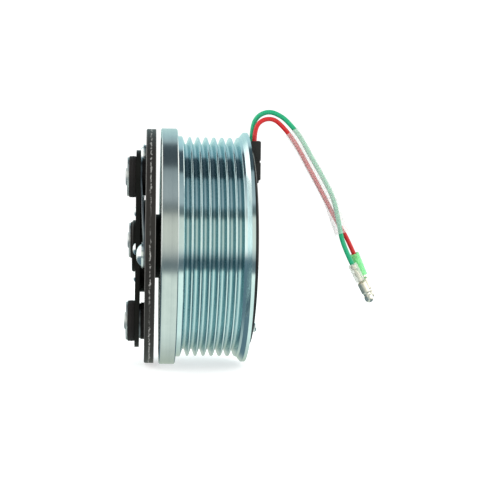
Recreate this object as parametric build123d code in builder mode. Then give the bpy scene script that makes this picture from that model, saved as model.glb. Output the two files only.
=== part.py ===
from build123d import *
from math import cos, degrees, radians, sin, tan
import os

# Electromagnetic clutch of a belt-driven compressor, in millimetres.
# X is the clutch axis: the hub and armature are at -X, the field coil at +X. +Z is up.
# The origin is the middle of the bearing's bore, where the clutch sits on its nose.

os.makedirs("parts", exist_ok=True)

# ---- Driving dimensions -------------------------------------------------------------

# Double-row ball bearing
bearing_bore_radius = 17.5
bearing_outer_radius = 26.0
bearing_width = 20.0
bearing_edge = 0.5
inner_ring_wall = 2.7
outer_ring_wall = 2.7
ball_radius = 3.0
balls_in_row = 16
row_offset = 4.6
ball_clearance = 0.03
cage_wall = 1.4
cage_half_width = 3.9
pocket_clearance = 0.15
seal_thickness = 0.8
seal_recess = 0.3
seal_lip_clearance = 0.1

# Rotor: friction disc, hub that holds the bearing, and shell that carries the belt rim
front_shoulder_length = 8.8
front_shoulder_depth = 2.2
rotor_hub_wall = 3.0
rotor_hub_tail = 2.0
rotor_disc_thickness = 5.5
rotor_shell_wall = 1.7
rotor_shell_setback = 1.4
rotor_rim_width = 7.0
rotor_rim_step = 3.6
rotor_edge = 0.4
rotor_slot_width = 2.2
rotor_slot_count = 6
rotor_slot_bridge = 5.0
inner_slot_margin = 1.5

# Retaining ring behind the bearing
ring_thickness = 1.5
ring_side_clearance = 0.1
ring_groove_depth = 1.3
ring_root_clearance = 0.15
ring_reach_in = 1.6
ring_gap_degrees = 26.0
ring_lug_radius = 2.2
ring_lug_turn = 3.0
ring_lug_inset = 0.4
ring_lug_hole_radius = 0.9
ring_lug_hole_inset = 0.1

# Friction lining let into the rotor's face
lining_width = 3.2
lining_depth = 1.2
lining_margin = 4.2

# Poly-V belt rim
groove_count = 7
groove_pitch = 3.56
groove_depth = 3.1
groove_half_angle = 20.0
groove_floor = 0.66
rib_tip_radius = 0.22
rib_root_wall = 1.3
land_step = 0.3
front_land = 2.0
rear_land = 0.7
lip_slope = 1.7
lip_width = 1.4
lip_step = 2.4
lip_round = 0.6

# Field coil
coil_gap = 0.7
coil_radial_width = 12.2
coil_wall = 2.2
coil_back_wall = 2.6
coil_face_gap = 1.5
plate_to_rim_gap = 0.5
coil_plate_thickness = 1.5
coil_plate_overhang = 2.6
coil_register_radius = 26.0
coil_edge = 0.5
bobbin_wall = 1.0
bobbin_clearance = 0.1
winding_clearance = 0.4
potting_depth = 2.0
potting_recess = 0.5
pin_radius = 2.0
pin_stud_radius = 1.6
pin_length = 4.0
pin_circle_radius = 36.0

# Lead holder on the coil's back, at twelve o'clock
holder_top = 47.0
holder_length = 18.7
holder_width = 13.0
holder_depth = 4.5
holder_corner = 1.2
holder_tail_chamfer = 1.6
holder_groove_drop = 9.0
holder_groove_depth = 0.4
holder_groove_width = 0.8
holder_tab_height = 0.7
holder_tab_depth = 1.4
holder_tab_width = 3.6
plug_radius = 2.4
plug_clearance = 0.1
plug_drop = 10.5

# Leads. A route is (x, y, z) from the holder's top to the terminal.
red_lead_diameter = 2.0
green_lead_diameter = 2.1
red_route = [
    (23.0, -1.3, holder_top),
    (23.0, -1.3, 53.3),
    (26.4, -1.2, 57.4),
    (31.7, -0.8, 57.9),
    (36.0, -0.3, 54.3),
    (40.0, 0.0, 49.6),
    (43.4, 0.1, 44.4),
    (47.6, 0.2, 36.9),
    (52.1, 0.3, 28.9),
    (56.5, 0.6, 20.9),
    (60.8, 1.2, 12.8),
    (66.5, 1.7, 4.3),
    (70.4, 2.3, -4.6),
]
green_route = [
    (22.0, 1.3, holder_top),
    (22.0, 1.3, 53.2),
    (24.0, 1.2, 59.0),
    (29.6, 0.8, 61.6),
    (35.6, 0.3, 59.1),
    (39.6, 0.0, 55.2),
    (43.8, -0.1, 50.2),
    (48.6, -0.2, 41.5),
    (54.1, -0.3, 32.3),
    (59.1, -0.6, 23.1),
    (61.5, -1.2, 12.9),
    (63.3, -1.7, 2.0),
    (68.0, -2.2, -7.3),
]
sleeve_route = [
    (39.8, 0.0, 52.4),
    (43.6, 0.0, 47.3),
    (48.1, 0.0, 39.2),
    (53.1, 0.0, 30.6),
    (57.8, 0.0, 22.0),
    (61.1, 0.0, 12.9),
    (63.3, 0.0, 6.9),
]
sleeve_outer_radius = 3.2
sleeve_inner_radius = 2.9

# Bullet terminals and their insulating sleeves
bullet_radius = 1.95
crimp_radius = 1.35
neck_radius = 1.0
red_terminal_length = 19.5
green_terminal_length = 18.7
bullet_length = 9.6
bullet_taper = 0.9
bullet_groove_depth = 0.35
bullet_groove_slope = 0.5
bullet_groove_floor = 0.8
bullet_nose_land = 1.2
crimp_length = 6.0
crimp_taper = 0.6
red_insulator_radius = 1.85
red_insulator_wall = 0.4
red_insulator_start = -2.5
red_insulator_end = 8.0
green_insulator_radius = 1.9
green_insulator_wall = 0.35
green_insulator_start = 0.1
green_insulator_end = 4.4

# Armature
air_gap = 2.25
armature_thickness = 4.2
armature_step = 0.4
armature_bore_radius = 24.5
armature_edge = 0.4
armature_slot_radius = 36.5
armature_slot_width = 2.4
armature_slot_count = 6
armature_slot_bridge = 6.0

# Hub with its three-armed plate
plate_gap = 2.2
hub_plate_thickness = 1.9
hub_core_radius = 20.0
damper_circle_radius = 35.7
first_damper_angle = 124.5
lobe_radius = 11.3
waist_fillet = 12.0
hub_boss_radius = 14.2
hub_boss_length = 15.9
hub_flange_radius = 20.5
hub_flange_thickness = 3.0
hub_flange_fillet = 0.3
hub_edge = 0.5
hub_collar_radius = 11.5
hub_collar_height = 1.7
nut_recess_radius = 9.0
nut_recess_depth = 5.0
shaft_bore_radius = 6.5
key_width = 3.0
key_depth = 1.4
shim_recess_radius = 10.5
shim_recess_depth = 1.2
shim_clearance = 0.15
shim_spacing = 0.02
shim_thicknesses = [0.5, 0.3]
hub_rivet_circle_radius = 17.2
hub_rivet_radius = 1.7
hub_rivet_head_radius = 2.6
hub_rivet_head_height = 1.1

# Rubber dampers on the plate's arms
damper_radius = 8.7
damper_height = 3.0
damper_rivet_radius = 2.2
damper_rivet_head_radius = 3.8
damper_rivet_head_height = 0.7
cap_radius = 8.2
cap_thickness = 0.8
cap_edge = 0.35
stop_pad_radius = 7.9
stop_pad_bore_radius = 4.3
rivet_tail_height = 0.9
rivet_tail_taper = 0.5

# Leaf springs
spring_thickness = 0.6
spring_eye_radius = 7.5
spring_tip_radius = 5.0
spring_flat = 8.5
spring_tip_flat = 6.5
spring_turn = 60.0
armature_rivet_circle_radius = 46.5
armature_rivet_radius = 1.6
armature_rivet_head_radius = 4.4
armature_rivet_head_height = 1.9
armature_rivet_tail_radius = 2.9
armature_rivet_tail_depth = 1.3
armature_rivet_sink = 0.2
rivet_washer_radius = 5.3
rivet_washer_thickness = 0.8

# ---- Sizes that follow from them ----------------------------------------------------

bearing_half = bearing_width / 2
pitch_radius = (bearing_bore_radius + bearing_outer_radius) / 2
inner_ring_radius = bearing_bore_radius + inner_ring_wall
outer_ring_bore = bearing_outer_radius - outer_ring_wall

rotor_face_x = -(bearing_half + front_shoulder_length)
rotor_disc_rear = rotor_face_x + rotor_disc_thickness
rotor_rim_rear = rotor_face_x + rotor_rim_width
rotor_shoulder_bore = bearing_outer_radius - front_shoulder_depth
rotor_hub_radius = bearing_outer_radius + rotor_hub_wall
ring_groove_front = bearing_half
ring_groove_rear = ring_groove_front + ring_thickness + ring_side_clearance
rotor_hub_rear = ring_groove_rear + rotor_hub_tail

coil_inner_radius = rotor_hub_radius + coil_gap
coil_outer_radius = coil_inner_radius + coil_radial_width
rotor_shell_bore = coil_outer_radius + coil_gap
rotor_shell_radius = rotor_shell_bore + rotor_shell_wall
groove_root_radius = rotor_shell_radius + rib_root_wall
rib_radius = groove_root_radius + groove_depth
land_radius = rib_radius + land_step
lip_radius = rib_radius + lip_step
rotor_rim_radius = rib_radius + rotor_rim_step

belt_rim_front = rotor_rim_rear
first_groove_x = belt_rim_front + front_land + groove_pitch / 2
grooves_rear = belt_rim_front + front_land + groove_count * groove_pitch
lip_front = grooves_rear + rear_land + lip_slope
belt_rim_rear = lip_front + lip_width
rotor_shell_rear = belt_rim_rear - rotor_shell_setback

coil_plate_front = belt_rim_rear + plate_to_rim_gap
coil_plate_rear = coil_plate_front + coil_plate_thickness
coil_plate_radius = coil_outer_radius + coil_plate_overhang
coil_front = rotor_disc_rear + coil_face_gap
coil_floor = coil_plate_front - coil_back_wall
cavity_inner_radius = coil_inner_radius + coil_wall
cavity_outer_radius = coil_outer_radius - coil_wall
potting_front = coil_front + potting_recess
bobbin_front = potting_front + potting_depth
bobbin_inner_radius = cavity_inner_radius + bobbin_clearance
winding_inner_radius = bobbin_inner_radius + bobbin_wall
winding_outer_radius = cavity_outer_radius - winding_clearance

armature_rear = rotor_face_x - air_gap
armature_front = armature_rear - armature_thickness
armature_radius = rotor_rim_radius - armature_step
hub_plate_rear = armature_front - plate_gap
hub_plate_front = hub_plate_rear - hub_plate_thickness
spring_rear_at_hub = hub_plate_rear + spring_thickness
damper_front = hub_plate_front - damper_height
cap_front = damper_front - cap_thickness
hub_flange_rear = hub_plate_rear + hub_flange_thickness
hub_rear = hub_plate_rear + hub_boss_length
hub_front = hub_plate_front - hub_collar_height

damper_angles = [first_damper_angle + 120 * i for i in range(3)]
spring_tip_angles = [angle + spring_turn for angle in damper_angles]


# ---- Helpers ------------------------------------------------------------------------


def finish(piece, name):
    """Label a finished piece and write its file."""
    piece.part.label = name
    export_step(piece.part, f"parts/{name}.step")


def turned(outline):
    """A solid turned about the clutch axis from its (x, radius) outline."""
    with BuildPart() as solid:
        with BuildSketch(Plane.XY):
            with BuildLine():
                Polyline(*outline, close=True)
            make_face()
        revolve(axis=Axis.X)
    return solid


def washer(x, thickness, outer, inner):
    """A flat ring about the clutch axis, its front face at x."""
    with BuildPart() as ring:
        with BuildSketch(Plane.YZ.offset(x)):
            Circle(outer)
            Circle(inner, mode=Mode.SUBTRACT)
        extrude(amount=thickness)
    return ring


def edges_at(piece, x, radius):
    """The round edges about the clutch axis at one station and radius."""
    rims = piece.edges().filter_by(GeomType.CIRCLE)
    return rims.filter_by(lambda e: abs(e.radius - radius) < 1e-3 and abs(e.arc_center.X - x) < 1e-3)


def point_on_circle(angle, radius):
    """(y, z) of a point on a circle about the clutch axis."""
    return radius * cos(radians(angle)), radius * sin(radians(angle))


def offset_axis_plane(angle, radius):
    """Plane of (x, radial) outlines for a piece turned about an axis beside the clutch axis."""
    y, z = point_on_circle(angle, radius)
    return Plane(origin=(0, y, z), x_dir=(1, 0, 0), z_dir=(0, -sin(radians(angle)), cos(radians(angle))))


def disc_on_arm(angle, circle_radius, x, thickness, outer, inner):
    """A flat ring with its centre on a circle about the clutch axis."""
    with BuildPart() as ring:
        with BuildSketch(Plane.YZ.offset(x)):
            with PolarLocations(circle_radius, 1, start_angle=angle):
                Circle(outer)
                Circle(inner, mode=Mode.SUBTRACT)
        extrude(amount=thickness)
    return ring


def domed_rivets(angles, circle_radius, head_front, head_height, head_radius, shank_radius, tail):
    """Rivets along X with a domed front head. The tail is the outline's points behind the head."""
    with BuildPart() as rivets:
        for angle in angles:
            plane = offset_axis_plane(angle, circle_radius)
            with BuildSketch(plane):
                with BuildLine():
                    head_rear = head_front + head_height
                    dome = (head_rear - head_height * sin(radians(45)), head_radius * cos(radians(45)))
                    ThreePointArc((head_front, 0), dome, (head_rear, head_radius))
                    Polyline((head_rear, head_radius), (head_rear, shank_radius), *tail, (head_front, 0))
                make_face()
            revolve(axis=Axis(plane.origin, (1, 0, 0)))
    return rivets


def corner_radii(route):
    """Radius of the arc at each corner of a route: 0.45 of the shorter run over tan(half the turn)."""
    points = [Vector(*p) for p in route]
    runs = [b - a for a, b in zip(points, points[1:])]
    corners = zip(runs, runs[1:])
    return [0.45 * min(a.length, b.length) / tan(radians(a.get_angle(b)) / 2) for a, b in corners]


def cord_tube(route, radius, bore=0):
    """A round tube along straight runs joined by tangent arcs."""
    with BuildPart() as tube:
        with BuildLine() as path:
            FilletPolyline(*route, radius=corner_radii(route))
        with BuildSketch(Plane(origin=path.line @ 0, z_dir=path.line % 0)):
            Circle(radius)
            if bore:
                Circle(bore, mode=Mode.SUBTRACT)
        sweep()
    return tube


def end_plane(route):
    """Plane of (along, radial) outlines for a piece turned about the end of a lead."""
    direction = Vector(*route[-1]) - Vector(*route[-2])
    return Plane(origin=route[-1], x_dir=direction, z_dir=direction.cross(Vector(0, 0, 1)))


# ---- Bearing ------------------------------------------------------------------------


def bearing_ring(inner, outer):
    """One race ring with a ball groove for each row."""
    with BuildPart(Plane.YZ) as ring:
        Cylinder(outer, bearing_width)
        Cylinder(inner, bearing_width, mode=Mode.SUBTRACT)
        open_rims = ring.edges().filter_by(GeomType.CIRCLE)
        bore_or_seat = bearing_bore_radius if inner == bearing_bore_radius else bearing_outer_radius
        chamfer(open_rims.filter_by(lambda e: abs(e.radius - bore_or_seat) < 1e-3), bearing_edge)
        for row_x in (-row_offset, row_offset):
            with Locations(Location((0, 0, row_x))):
                Torus(pitch_radius, ball_radius + ball_clearance, mode=Mode.SUBTRACT)
    return ring


def ball_row(row_x):
    """One row of balls, each its own solid."""
    with BuildPart(Plane.YZ.offset(row_x)) as balls:
        with PolarLocations(pitch_radius, balls_in_row):
            Sphere(ball_radius)
    return balls


def ball_cage(row_x):
    """The moulded ring whose pockets space one row of balls."""
    with BuildPart(Plane.YZ.offset(row_x)) as cage:
        Cylinder(pitch_radius + cage_wall / 2, 2 * cage_half_width)
        Cylinder(pitch_radius - cage_wall / 2, 2 * cage_half_width, mode=Mode.SUBTRACT)
        with PolarLocations(pitch_radius, balls_in_row):
            Cylinder(ball_radius + pocket_clearance, 2 * cage_wall, rotation=(0, 90, 0), mode=Mode.SUBTRACT)
    return cage


seal_bore = inner_ring_radius + seal_lip_clearance
seal_front_x = -bearing_half + seal_recess
seal_rear_x = bearing_half - seal_recess - seal_thickness

finish(bearing_ring(bearing_bore_radius, inner_ring_radius), "bearing_inner_ring")
finish(bearing_ring(outer_ring_bore, bearing_outer_radius), "bearing_outer_ring")
finish(washer(seal_front_x, seal_thickness, outer_ring_bore, seal_bore), "bearing_seal_front")
finish(washer(seal_rear_x, seal_thickness, outer_ring_bore, seal_bore), "bearing_seal_rear")
for side, row_x in (("front", -row_offset), ("rear", row_offset)):
    finish(ball_row(row_x), f"bearing_balls_{side}")
    finish(ball_cage(row_x), f"ball_cage_{side}")


# ---- Rotor and belt rim -------------------------------------------------------------


def slot_ring(radius, count, width, bridge):
    """Banana slots on one circle, with a bridge of metal between each two."""
    half_arc = 180 / count - degrees((bridge + width) / 2 / radius)
    with PolarLocations(0, count):
        SlotArc(Edge.make_circle(radius, start_angle=-half_arc, end_angle=half_arc), width)


lining_outer_radius = rotor_rim_radius - lining_margin
lining_inner_radius = lining_outer_radius - lining_width
inner_slot_radius = cavity_inner_radius + inner_slot_margin
outer_slot_radius = cavity_outer_radius

with BuildPart() as rotor:
    with BuildSketch(Plane.XY):
        with BuildLine():
            Polyline(
                (rotor_face_x, rotor_shoulder_bore),
                (rotor_face_x, rotor_rim_radius),
                (rotor_rim_rear, rotor_rim_radius),
                (rotor_rim_rear, rotor_shell_radius),
                (rotor_shell_rear, rotor_shell_radius),
                (rotor_shell_rear, rotor_shell_bore),
                (rotor_disc_rear, rotor_shell_bore),
                (rotor_disc_rear, rotor_hub_radius),
                (rotor_hub_rear, rotor_hub_radius),
                (rotor_hub_rear, bearing_outer_radius),
                (ring_groove_rear, bearing_outer_radius),
                (ring_groove_rear, bearing_outer_radius + ring_groove_depth),
                (ring_groove_front, bearing_outer_radius + ring_groove_depth),
                (ring_groove_front, bearing_outer_radius),
                (-bearing_half, bearing_outer_radius),
                (-bearing_half, rotor_shoulder_bore),
                close=True,
            )
        make_face()
    revolve(axis=Axis.X)
    chamfer(edges_at(rotor, rotor_face_x, rotor_rim_radius), rotor_edge)
    chamfer(edges_at(rotor, rotor_rim_rear, rotor_rim_radius), rotor_edge)
    chamfer(edges_at(rotor, rotor_hub_rear, bearing_outer_radius), rotor_edge)
    fillet(edges_at(rotor, rotor_disc_rear, rotor_hub_radius), rotor_edge)
    with BuildSketch(Plane.YZ.offset(rotor_face_x)):
        slot_ring(inner_slot_radius, rotor_slot_count, rotor_slot_width, rotor_slot_bridge)
        slot_ring(outer_slot_radius, rotor_slot_count, rotor_slot_width, rotor_slot_bridge)
    extrude(amount=rotor_disc_thickness, mode=Mode.SUBTRACT)
    with BuildSketch(Plane.YZ.offset(rotor_face_x)):
        Circle(lining_outer_radius)
        Circle(lining_inner_radius, mode=Mode.SUBTRACT)
    extrude(amount=lining_depth, mode=Mode.SUBTRACT)
finish(rotor, "rotor")

finish(washer(rotor_face_x, lining_depth, lining_outer_radius, lining_inner_radius), "friction_lining")


def belt_rim_outline():
    """(x, radius) points of the rim's outside, from front to rear."""
    half_floor = groove_floor / 2
    half_mouth = half_floor + groove_depth * tan(radians(groove_half_angle))
    outline = [(belt_rim_front, land_radius), (first_groove_x - half_mouth - land_step, land_radius)]
    for i in range(groove_count):
        middle = first_groove_x + i * groove_pitch
        outline += [
            (middle - half_mouth, rib_radius),
            (middle - half_floor, groove_root_radius),
            (middle + half_floor, groove_root_radius),
            (middle + half_mouth, rib_radius),
        ]
    outline += [
        (grooves_rear + rear_land, land_radius),
        (lip_front, lip_radius),
        (belt_rim_rear, lip_radius),
        (belt_rim_rear, lip_radius - lip_width),
        (rotor_shell_rear, rotor_shell_radius),
    ]
    return outline


with BuildPart() as belt_rim:
    with BuildSketch(Plane.XY) as rim_section:
        with BuildLine():
            Polyline(*belt_rim_outline(), (belt_rim_front, rotor_shell_radius), close=True)
        make_face()
        tips = rim_section.vertices().filter_by(lambda v: abs(v.Y - rib_radius) < 1e-3)
        lips = rim_section.vertices().filter_by(lambda v: abs(v.Y - lip_radius) < 1e-3)
        fillet(tips, rib_tip_radius)
        fillet(lips, lip_round)
    revolve(axis=Axis.X)
finish(belt_rim, "belt_rim")

ring_outer_radius = bearing_outer_radius + ring_groove_depth - ring_root_clearance
ring_inner_radius = bearing_outer_radius - ring_reach_in

with BuildPart() as bearing_retaining_ring:
    with BuildSketch(Plane.YZ.offset(ring_groove_front)):
        Circle(ring_outer_radius)
        Circle(ring_inner_radius, mode=Mode.SUBTRACT)
        with BuildLine():
            gap_y, gap_z = point_on_circle(90 - ring_gap_degrees / 2, 2 * ring_outer_radius)
            Polyline((0, 0), (gap_y, gap_z), (-gap_y, gap_z), close=True)
        make_face(mode=Mode.SUBTRACT)
        for lug_side in (-1, 1):
            lug_angle = 90 + lug_side * (ring_gap_degrees / 2 + ring_lug_turn)
            with PolarLocations(ring_inner_radius + ring_lug_inset, 1, start_angle=lug_angle):
                Circle(ring_lug_radius)
        for lug_side in (-1, 1):
            lug_angle = 90 + lug_side * (ring_gap_degrees / 2 + ring_lug_turn)
            with PolarLocations(ring_inner_radius + ring_lug_hole_inset, 1, start_angle=lug_angle):
                Circle(ring_lug_hole_radius, mode=Mode.SUBTRACT)
        Circle(ring_outer_radius, mode=Mode.INTERSECT)
    extrude(amount=ring_thickness)
finish(bearing_retaining_ring, "bearing_retaining_ring")


# ---- Field coil ---------------------------------------------------------------------

plug_z = holder_top - plug_drop

with BuildPart() as coil_shell:
    with BuildSketch(Plane.XY):
        with BuildLine():
            Polyline(
                (coil_front, coil_inner_radius),
                (coil_plate_front, coil_inner_radius),
                (coil_plate_front, coil_outer_radius),
                (coil_front, coil_outer_radius),
                (coil_front, cavity_outer_radius),
                (coil_floor, cavity_outer_radius),
                (coil_floor, cavity_inner_radius),
                (coil_front, cavity_inner_radius),
                close=True,
            )
        make_face()
    revolve(axis=Axis.X)
    chamfer(edges_at(coil_shell, coil_front, coil_outer_radius), coil_edge)
    chamfer(edges_at(coil_shell, coil_front, coil_inner_radius), coil_edge)
    with BuildSketch(Plane.YZ.offset(coil_floor)):
        with Locations((0, plug_z)):
            Circle(plug_radius + plug_clearance)
    extrude(amount=coil_back_wall, mode=Mode.SUBTRACT)
finish(coil_shell, "coil_shell")

with BuildPart() as coil_plate:
    with BuildSketch(Plane.YZ.offset(coil_plate_front)):
        Circle(coil_plate_radius)
        Circle(coil_register_radius, mode=Mode.SUBTRACT)
        with Locations((0, plug_z)):
            Circle(plug_radius + plug_clearance, mode=Mode.SUBTRACT)
        with Locations((0, -pin_circle_radius)):
            Circle(pin_stud_radius, mode=Mode.SUBTRACT)
    extrude(amount=coil_plate_thickness)
    chamfer(edges_at(coil_plate, coil_plate_rear, coil_plate_radius), coil_edge)
finish(coil_plate, "coil_plate")

with BuildPart() as locating_pin:
    with BuildSketch(Plane.YZ.offset(coil_plate_front)):
        with Locations((0, -pin_circle_radius)):
            Circle(pin_stud_radius)
    extrude(amount=coil_plate_thickness)
    with BuildSketch(Plane.YZ.offset(coil_plate_rear)):
        with Locations((0, -pin_circle_radius)):
            Circle(pin_radius)
    extrude(amount=pin_length)
    chamfer(locating_pin.faces().sort_by(Axis.X)[-1].edges(), coil_edge)
finish(locating_pin, "locating_pin")

coil_bobbin = turned(
    [
        (bobbin_front, bobbin_inner_radius),
        (coil_floor, bobbin_inner_radius),
        (coil_floor, winding_outer_radius),
        (coil_floor - bobbin_wall, winding_outer_radius),
        (coil_floor - bobbin_wall, winding_inner_radius),
        (bobbin_front + bobbin_wall, winding_inner_radius),
        (bobbin_front + bobbin_wall, winding_outer_radius),
        (bobbin_front, winding_outer_radius),
    ]
)
finish(coil_bobbin, "coil_bobbin")

winding_front = bobbin_front + bobbin_wall
winding_length = coil_floor - bobbin_wall - winding_front
finish(washer(winding_front, winding_length, winding_outer_radius, winding_inner_radius), "coil_winding")
finish(washer(potting_front, potting_depth, cavity_outer_radius, cavity_inner_radius), "coil_potting")


# ---- Lead holder --------------------------------------------------------------------

holder_rear = coil_plate_rear + holder_depth
tab_front = holder_rear - holder_tab_depth
holder_bottom = holder_top - holder_length

with BuildPart() as lead_holder:
    with BuildSketch(Plane.XZ):
        with BuildLine():
            Polyline(
                (coil_plate_rear, holder_top),
                (holder_rear, holder_top),
                (holder_rear, holder_bottom + holder_tail_chamfer),
                (holder_rear - holder_tail_chamfer, holder_bottom),
                (coil_plate_rear, holder_bottom),
                close=True,
            )
        make_face()
    extrude(amount=holder_width / 2, both=True)
    fillet(lead_holder.edges().filter_by(Axis.X), holder_corner)
    with BuildSketch(Plane.YZ.offset(holder_rear - holder_groove_depth)):
        with Locations((0, holder_top - holder_groove_drop)):
            Rectangle(holder_width, holder_groove_width)
    extrude(amount=holder_groove_depth, mode=Mode.SUBTRACT)
    with BuildSketch(Plane.YZ.offset(tab_front)):
        with Locations((0, holder_top)):
            Rectangle(holder_tab_width, 2 * holder_tab_height)
    extrude(amount=holder_tab_depth)
    with BuildSketch(Plane.YZ.offset(coil_floor)):
        with Locations((0, plug_z)):
            Circle(plug_radius)
    extrude(amount=coil_plate_rear - coil_floor)
finish(lead_holder, "lead_holder")


# ---- Leads, sleeve and terminals ----------------------------------------------------

leads = {
    "red_lead": cord_tube(red_route, red_lead_diameter / 2),
    "green_lead": cord_tube(green_route, green_lead_diameter / 2),
    "lead_sleeve": cord_tube(sleeve_route, sleeve_outer_radius, sleeve_inner_radius),
}
routes = {"red_lead": red_route, "green_lead": green_route, "lead_sleeve": sleeve_route}
for name, lead in leads.items():
    finish(lead, name)
    print(name, "corner radii", [round(radius, 1) for radius in corner_radii(routes[name])])


def bullet_terminal(route, length):
    """A crimped bullet terminal in line with the end of its lead."""
    plane = end_plane(route)
    bullet_start = length - bullet_length
    nose_start = length - bullet_radius
    groove_radius = bullet_radius - bullet_groove_depth
    groove_end = nose_start - bullet_nose_land
    groove_start = groove_end - 2 * bullet_groove_slope - bullet_groove_floor
    with BuildPart() as terminal:
        with BuildSketch(plane):
            with BuildLine():
                Polyline(
                    (nose_start, bullet_radius),
                    (groove_end, bullet_radius),
                    (groove_end - bullet_groove_slope, groove_radius),
                    (groove_start + bullet_groove_slope, groove_radius),
                    (groove_start, bullet_radius),
                    (bullet_start, bullet_radius),
                    (bullet_start - bullet_taper, neck_radius),
                    (crimp_length, neck_radius),
                    (crimp_length - crimp_taper, crimp_radius),
                    (0, crimp_radius),
                    (0, 0),
                    (length, 0),
                )
                ThreePointArc(
                    (length, 0),
                    (nose_start + bullet_radius * sin(radians(45)), bullet_radius * cos(radians(45))),
                    (nose_start, bullet_radius),
                )
            make_face()
        revolve(axis=Axis(plane.origin, plane.x_dir))
    return terminal


def insulator(route, start, end, outer, wall):
    """A plain sleeve about the end of a lead, from start to end along its line."""
    plane = end_plane(route)
    with BuildPart() as sleeve:
        with BuildSketch(plane):
            with BuildLine():
                Polyline((start, outer - wall), (end, outer - wall), (end, outer), (start, outer), close=True)
            make_face()
        revolve(axis=Axis(plane.origin, plane.x_dir))
    return sleeve


finish(bullet_terminal(red_route, red_terminal_length), "red_terminal")
finish(bullet_terminal(green_route, green_terminal_length), "green_terminal")
red_insulator = insulator(
    red_route, red_insulator_start, red_insulator_end, red_insulator_radius, red_insulator_wall
)
finish(red_insulator, "red_terminal_sleeve")
green_insulator = insulator(
    green_route, green_insulator_start, green_insulator_end, green_insulator_radius, green_insulator_wall
)
finish(green_insulator, "green_terminal_sleeve")


# ---- Armature -----------------------------------------------------------------------

tip_rear = armature_front - spring_thickness
rivet_washer_front = tip_rear - rivet_washer_thickness
armature_rivet_front = rivet_washer_front - armature_rivet_head_height
tail_rear = armature_rear - armature_rivet_sink
tail_front = tail_rear - armature_rivet_tail_depth

with BuildPart() as armature_plate:
    with BuildSketch(Plane.YZ.offset(armature_front)):
        Circle(armature_radius)
        Circle(armature_bore_radius, mode=Mode.SUBTRACT)
    extrude(amount=armature_thickness)
    chamfer(edges_at(armature_plate, armature_front, armature_radius), armature_edge)
    with BuildSketch(Plane.YZ.offset(armature_front)):
        slot_ring(armature_slot_radius, armature_slot_count, armature_slot_width, armature_slot_bridge)
        with PolarLocations(armature_rivet_circle_radius, 3, start_angle=spring_tip_angles[0]):
            Circle(armature_rivet_radius)
    extrude(amount=armature_thickness, mode=Mode.SUBTRACT)
    with BuildSketch(Plane.YZ.offset(tail_front)):
        with PolarLocations(armature_rivet_circle_radius, 3, start_angle=spring_tip_angles[0]):
            Circle(armature_rivet_tail_radius)
    extrude(amount=armature_rear - tail_front, mode=Mode.SUBTRACT)
finish(armature_plate, "armature_plate")

armature_rivets = domed_rivets(
    spring_tip_angles,
    armature_rivet_circle_radius,
    armature_rivet_front,
    armature_rivet_head_height,
    armature_rivet_head_radius,
    armature_rivet_radius,
    [
        (tail_front, armature_rivet_radius),
        (tail_front, armature_rivet_tail_radius),
        (tail_rear, armature_rivet_tail_radius),
        (tail_rear, 0),
    ],
)
finish(armature_rivets, "armature_rivets")

with BuildPart() as rivet_washers:
    with BuildSketch(Plane.YZ.offset(rivet_washer_front)):
        with PolarLocations(armature_rivet_circle_radius, 3, start_angle=spring_tip_angles[0]):
            Circle(rivet_washer_radius)
            Circle(armature_rivet_radius, mode=Mode.SUBTRACT)
    extrude(amount=rivet_washer_thickness)
finish(rivet_washers, "rivet_washers")


# ---- Leaf springs -------------------------------------------------------------------


def leaf_spring(angle):
    """A strip from a damper on the hub plate to a rivet on the armature, bent across the gap."""
    eye = Vector(hub_plate_rear, *point_on_circle(angle, damper_circle_radius))
    tip = Vector(hub_plate_rear, *point_on_circle(angle + spring_turn, armature_rivet_circle_radius))
    length = (tip - eye).length
    along = (tip - eye).normalized()
    across = along.cross(Vector(1, 0, 0))
    bend_end = length - spring_tip_flat
    rise = plate_gap - spring_thickness
    with BuildPart() as spring:
        with BuildSketch(Plane(origin=eye, x_dir=along, z_dir=(1, 0, 0))):
            Circle(spring_eye_radius)
            with Locations((length, 0)):
                Circle(spring_tip_radius)
            make_hull()
            Circle(damper_rivet_radius, mode=Mode.SUBTRACT)
            with Locations((length, 0)):
                Circle(armature_rivet_radius, mode=Mode.SUBTRACT)
        extrude(amount=plate_gap)
        with BuildSketch(Plane(origin=eye, x_dir=along, z_dir=across)):
            with BuildLine():
                Polyline(
                    (-2 * spring_eye_radius, 0),
                    (spring_flat, 0),
                    (bend_end, rise),
                    (length + 2 * spring_tip_radius, rise),
                    (length + 2 * spring_tip_radius, rise + spring_thickness),
                    (bend_end, rise + spring_thickness),
                    (spring_flat, spring_thickness),
                    (-2 * spring_eye_radius, spring_thickness),
                    close=True,
                )
            make_face()
        extrude(amount=2 * spring_eye_radius, both=True, mode=Mode.INTERSECT)
    return spring


for number, angle in enumerate(damper_angles, start=1):
    finish(leaf_spring(angle), f"leaf_spring_{number}")


# ---- Hub and its plate --------------------------------------------------------------

hub_rivet_angles = [angle + 60 for angle in damper_angles]
nut_recess_floor = hub_front + nut_recess_depth

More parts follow.
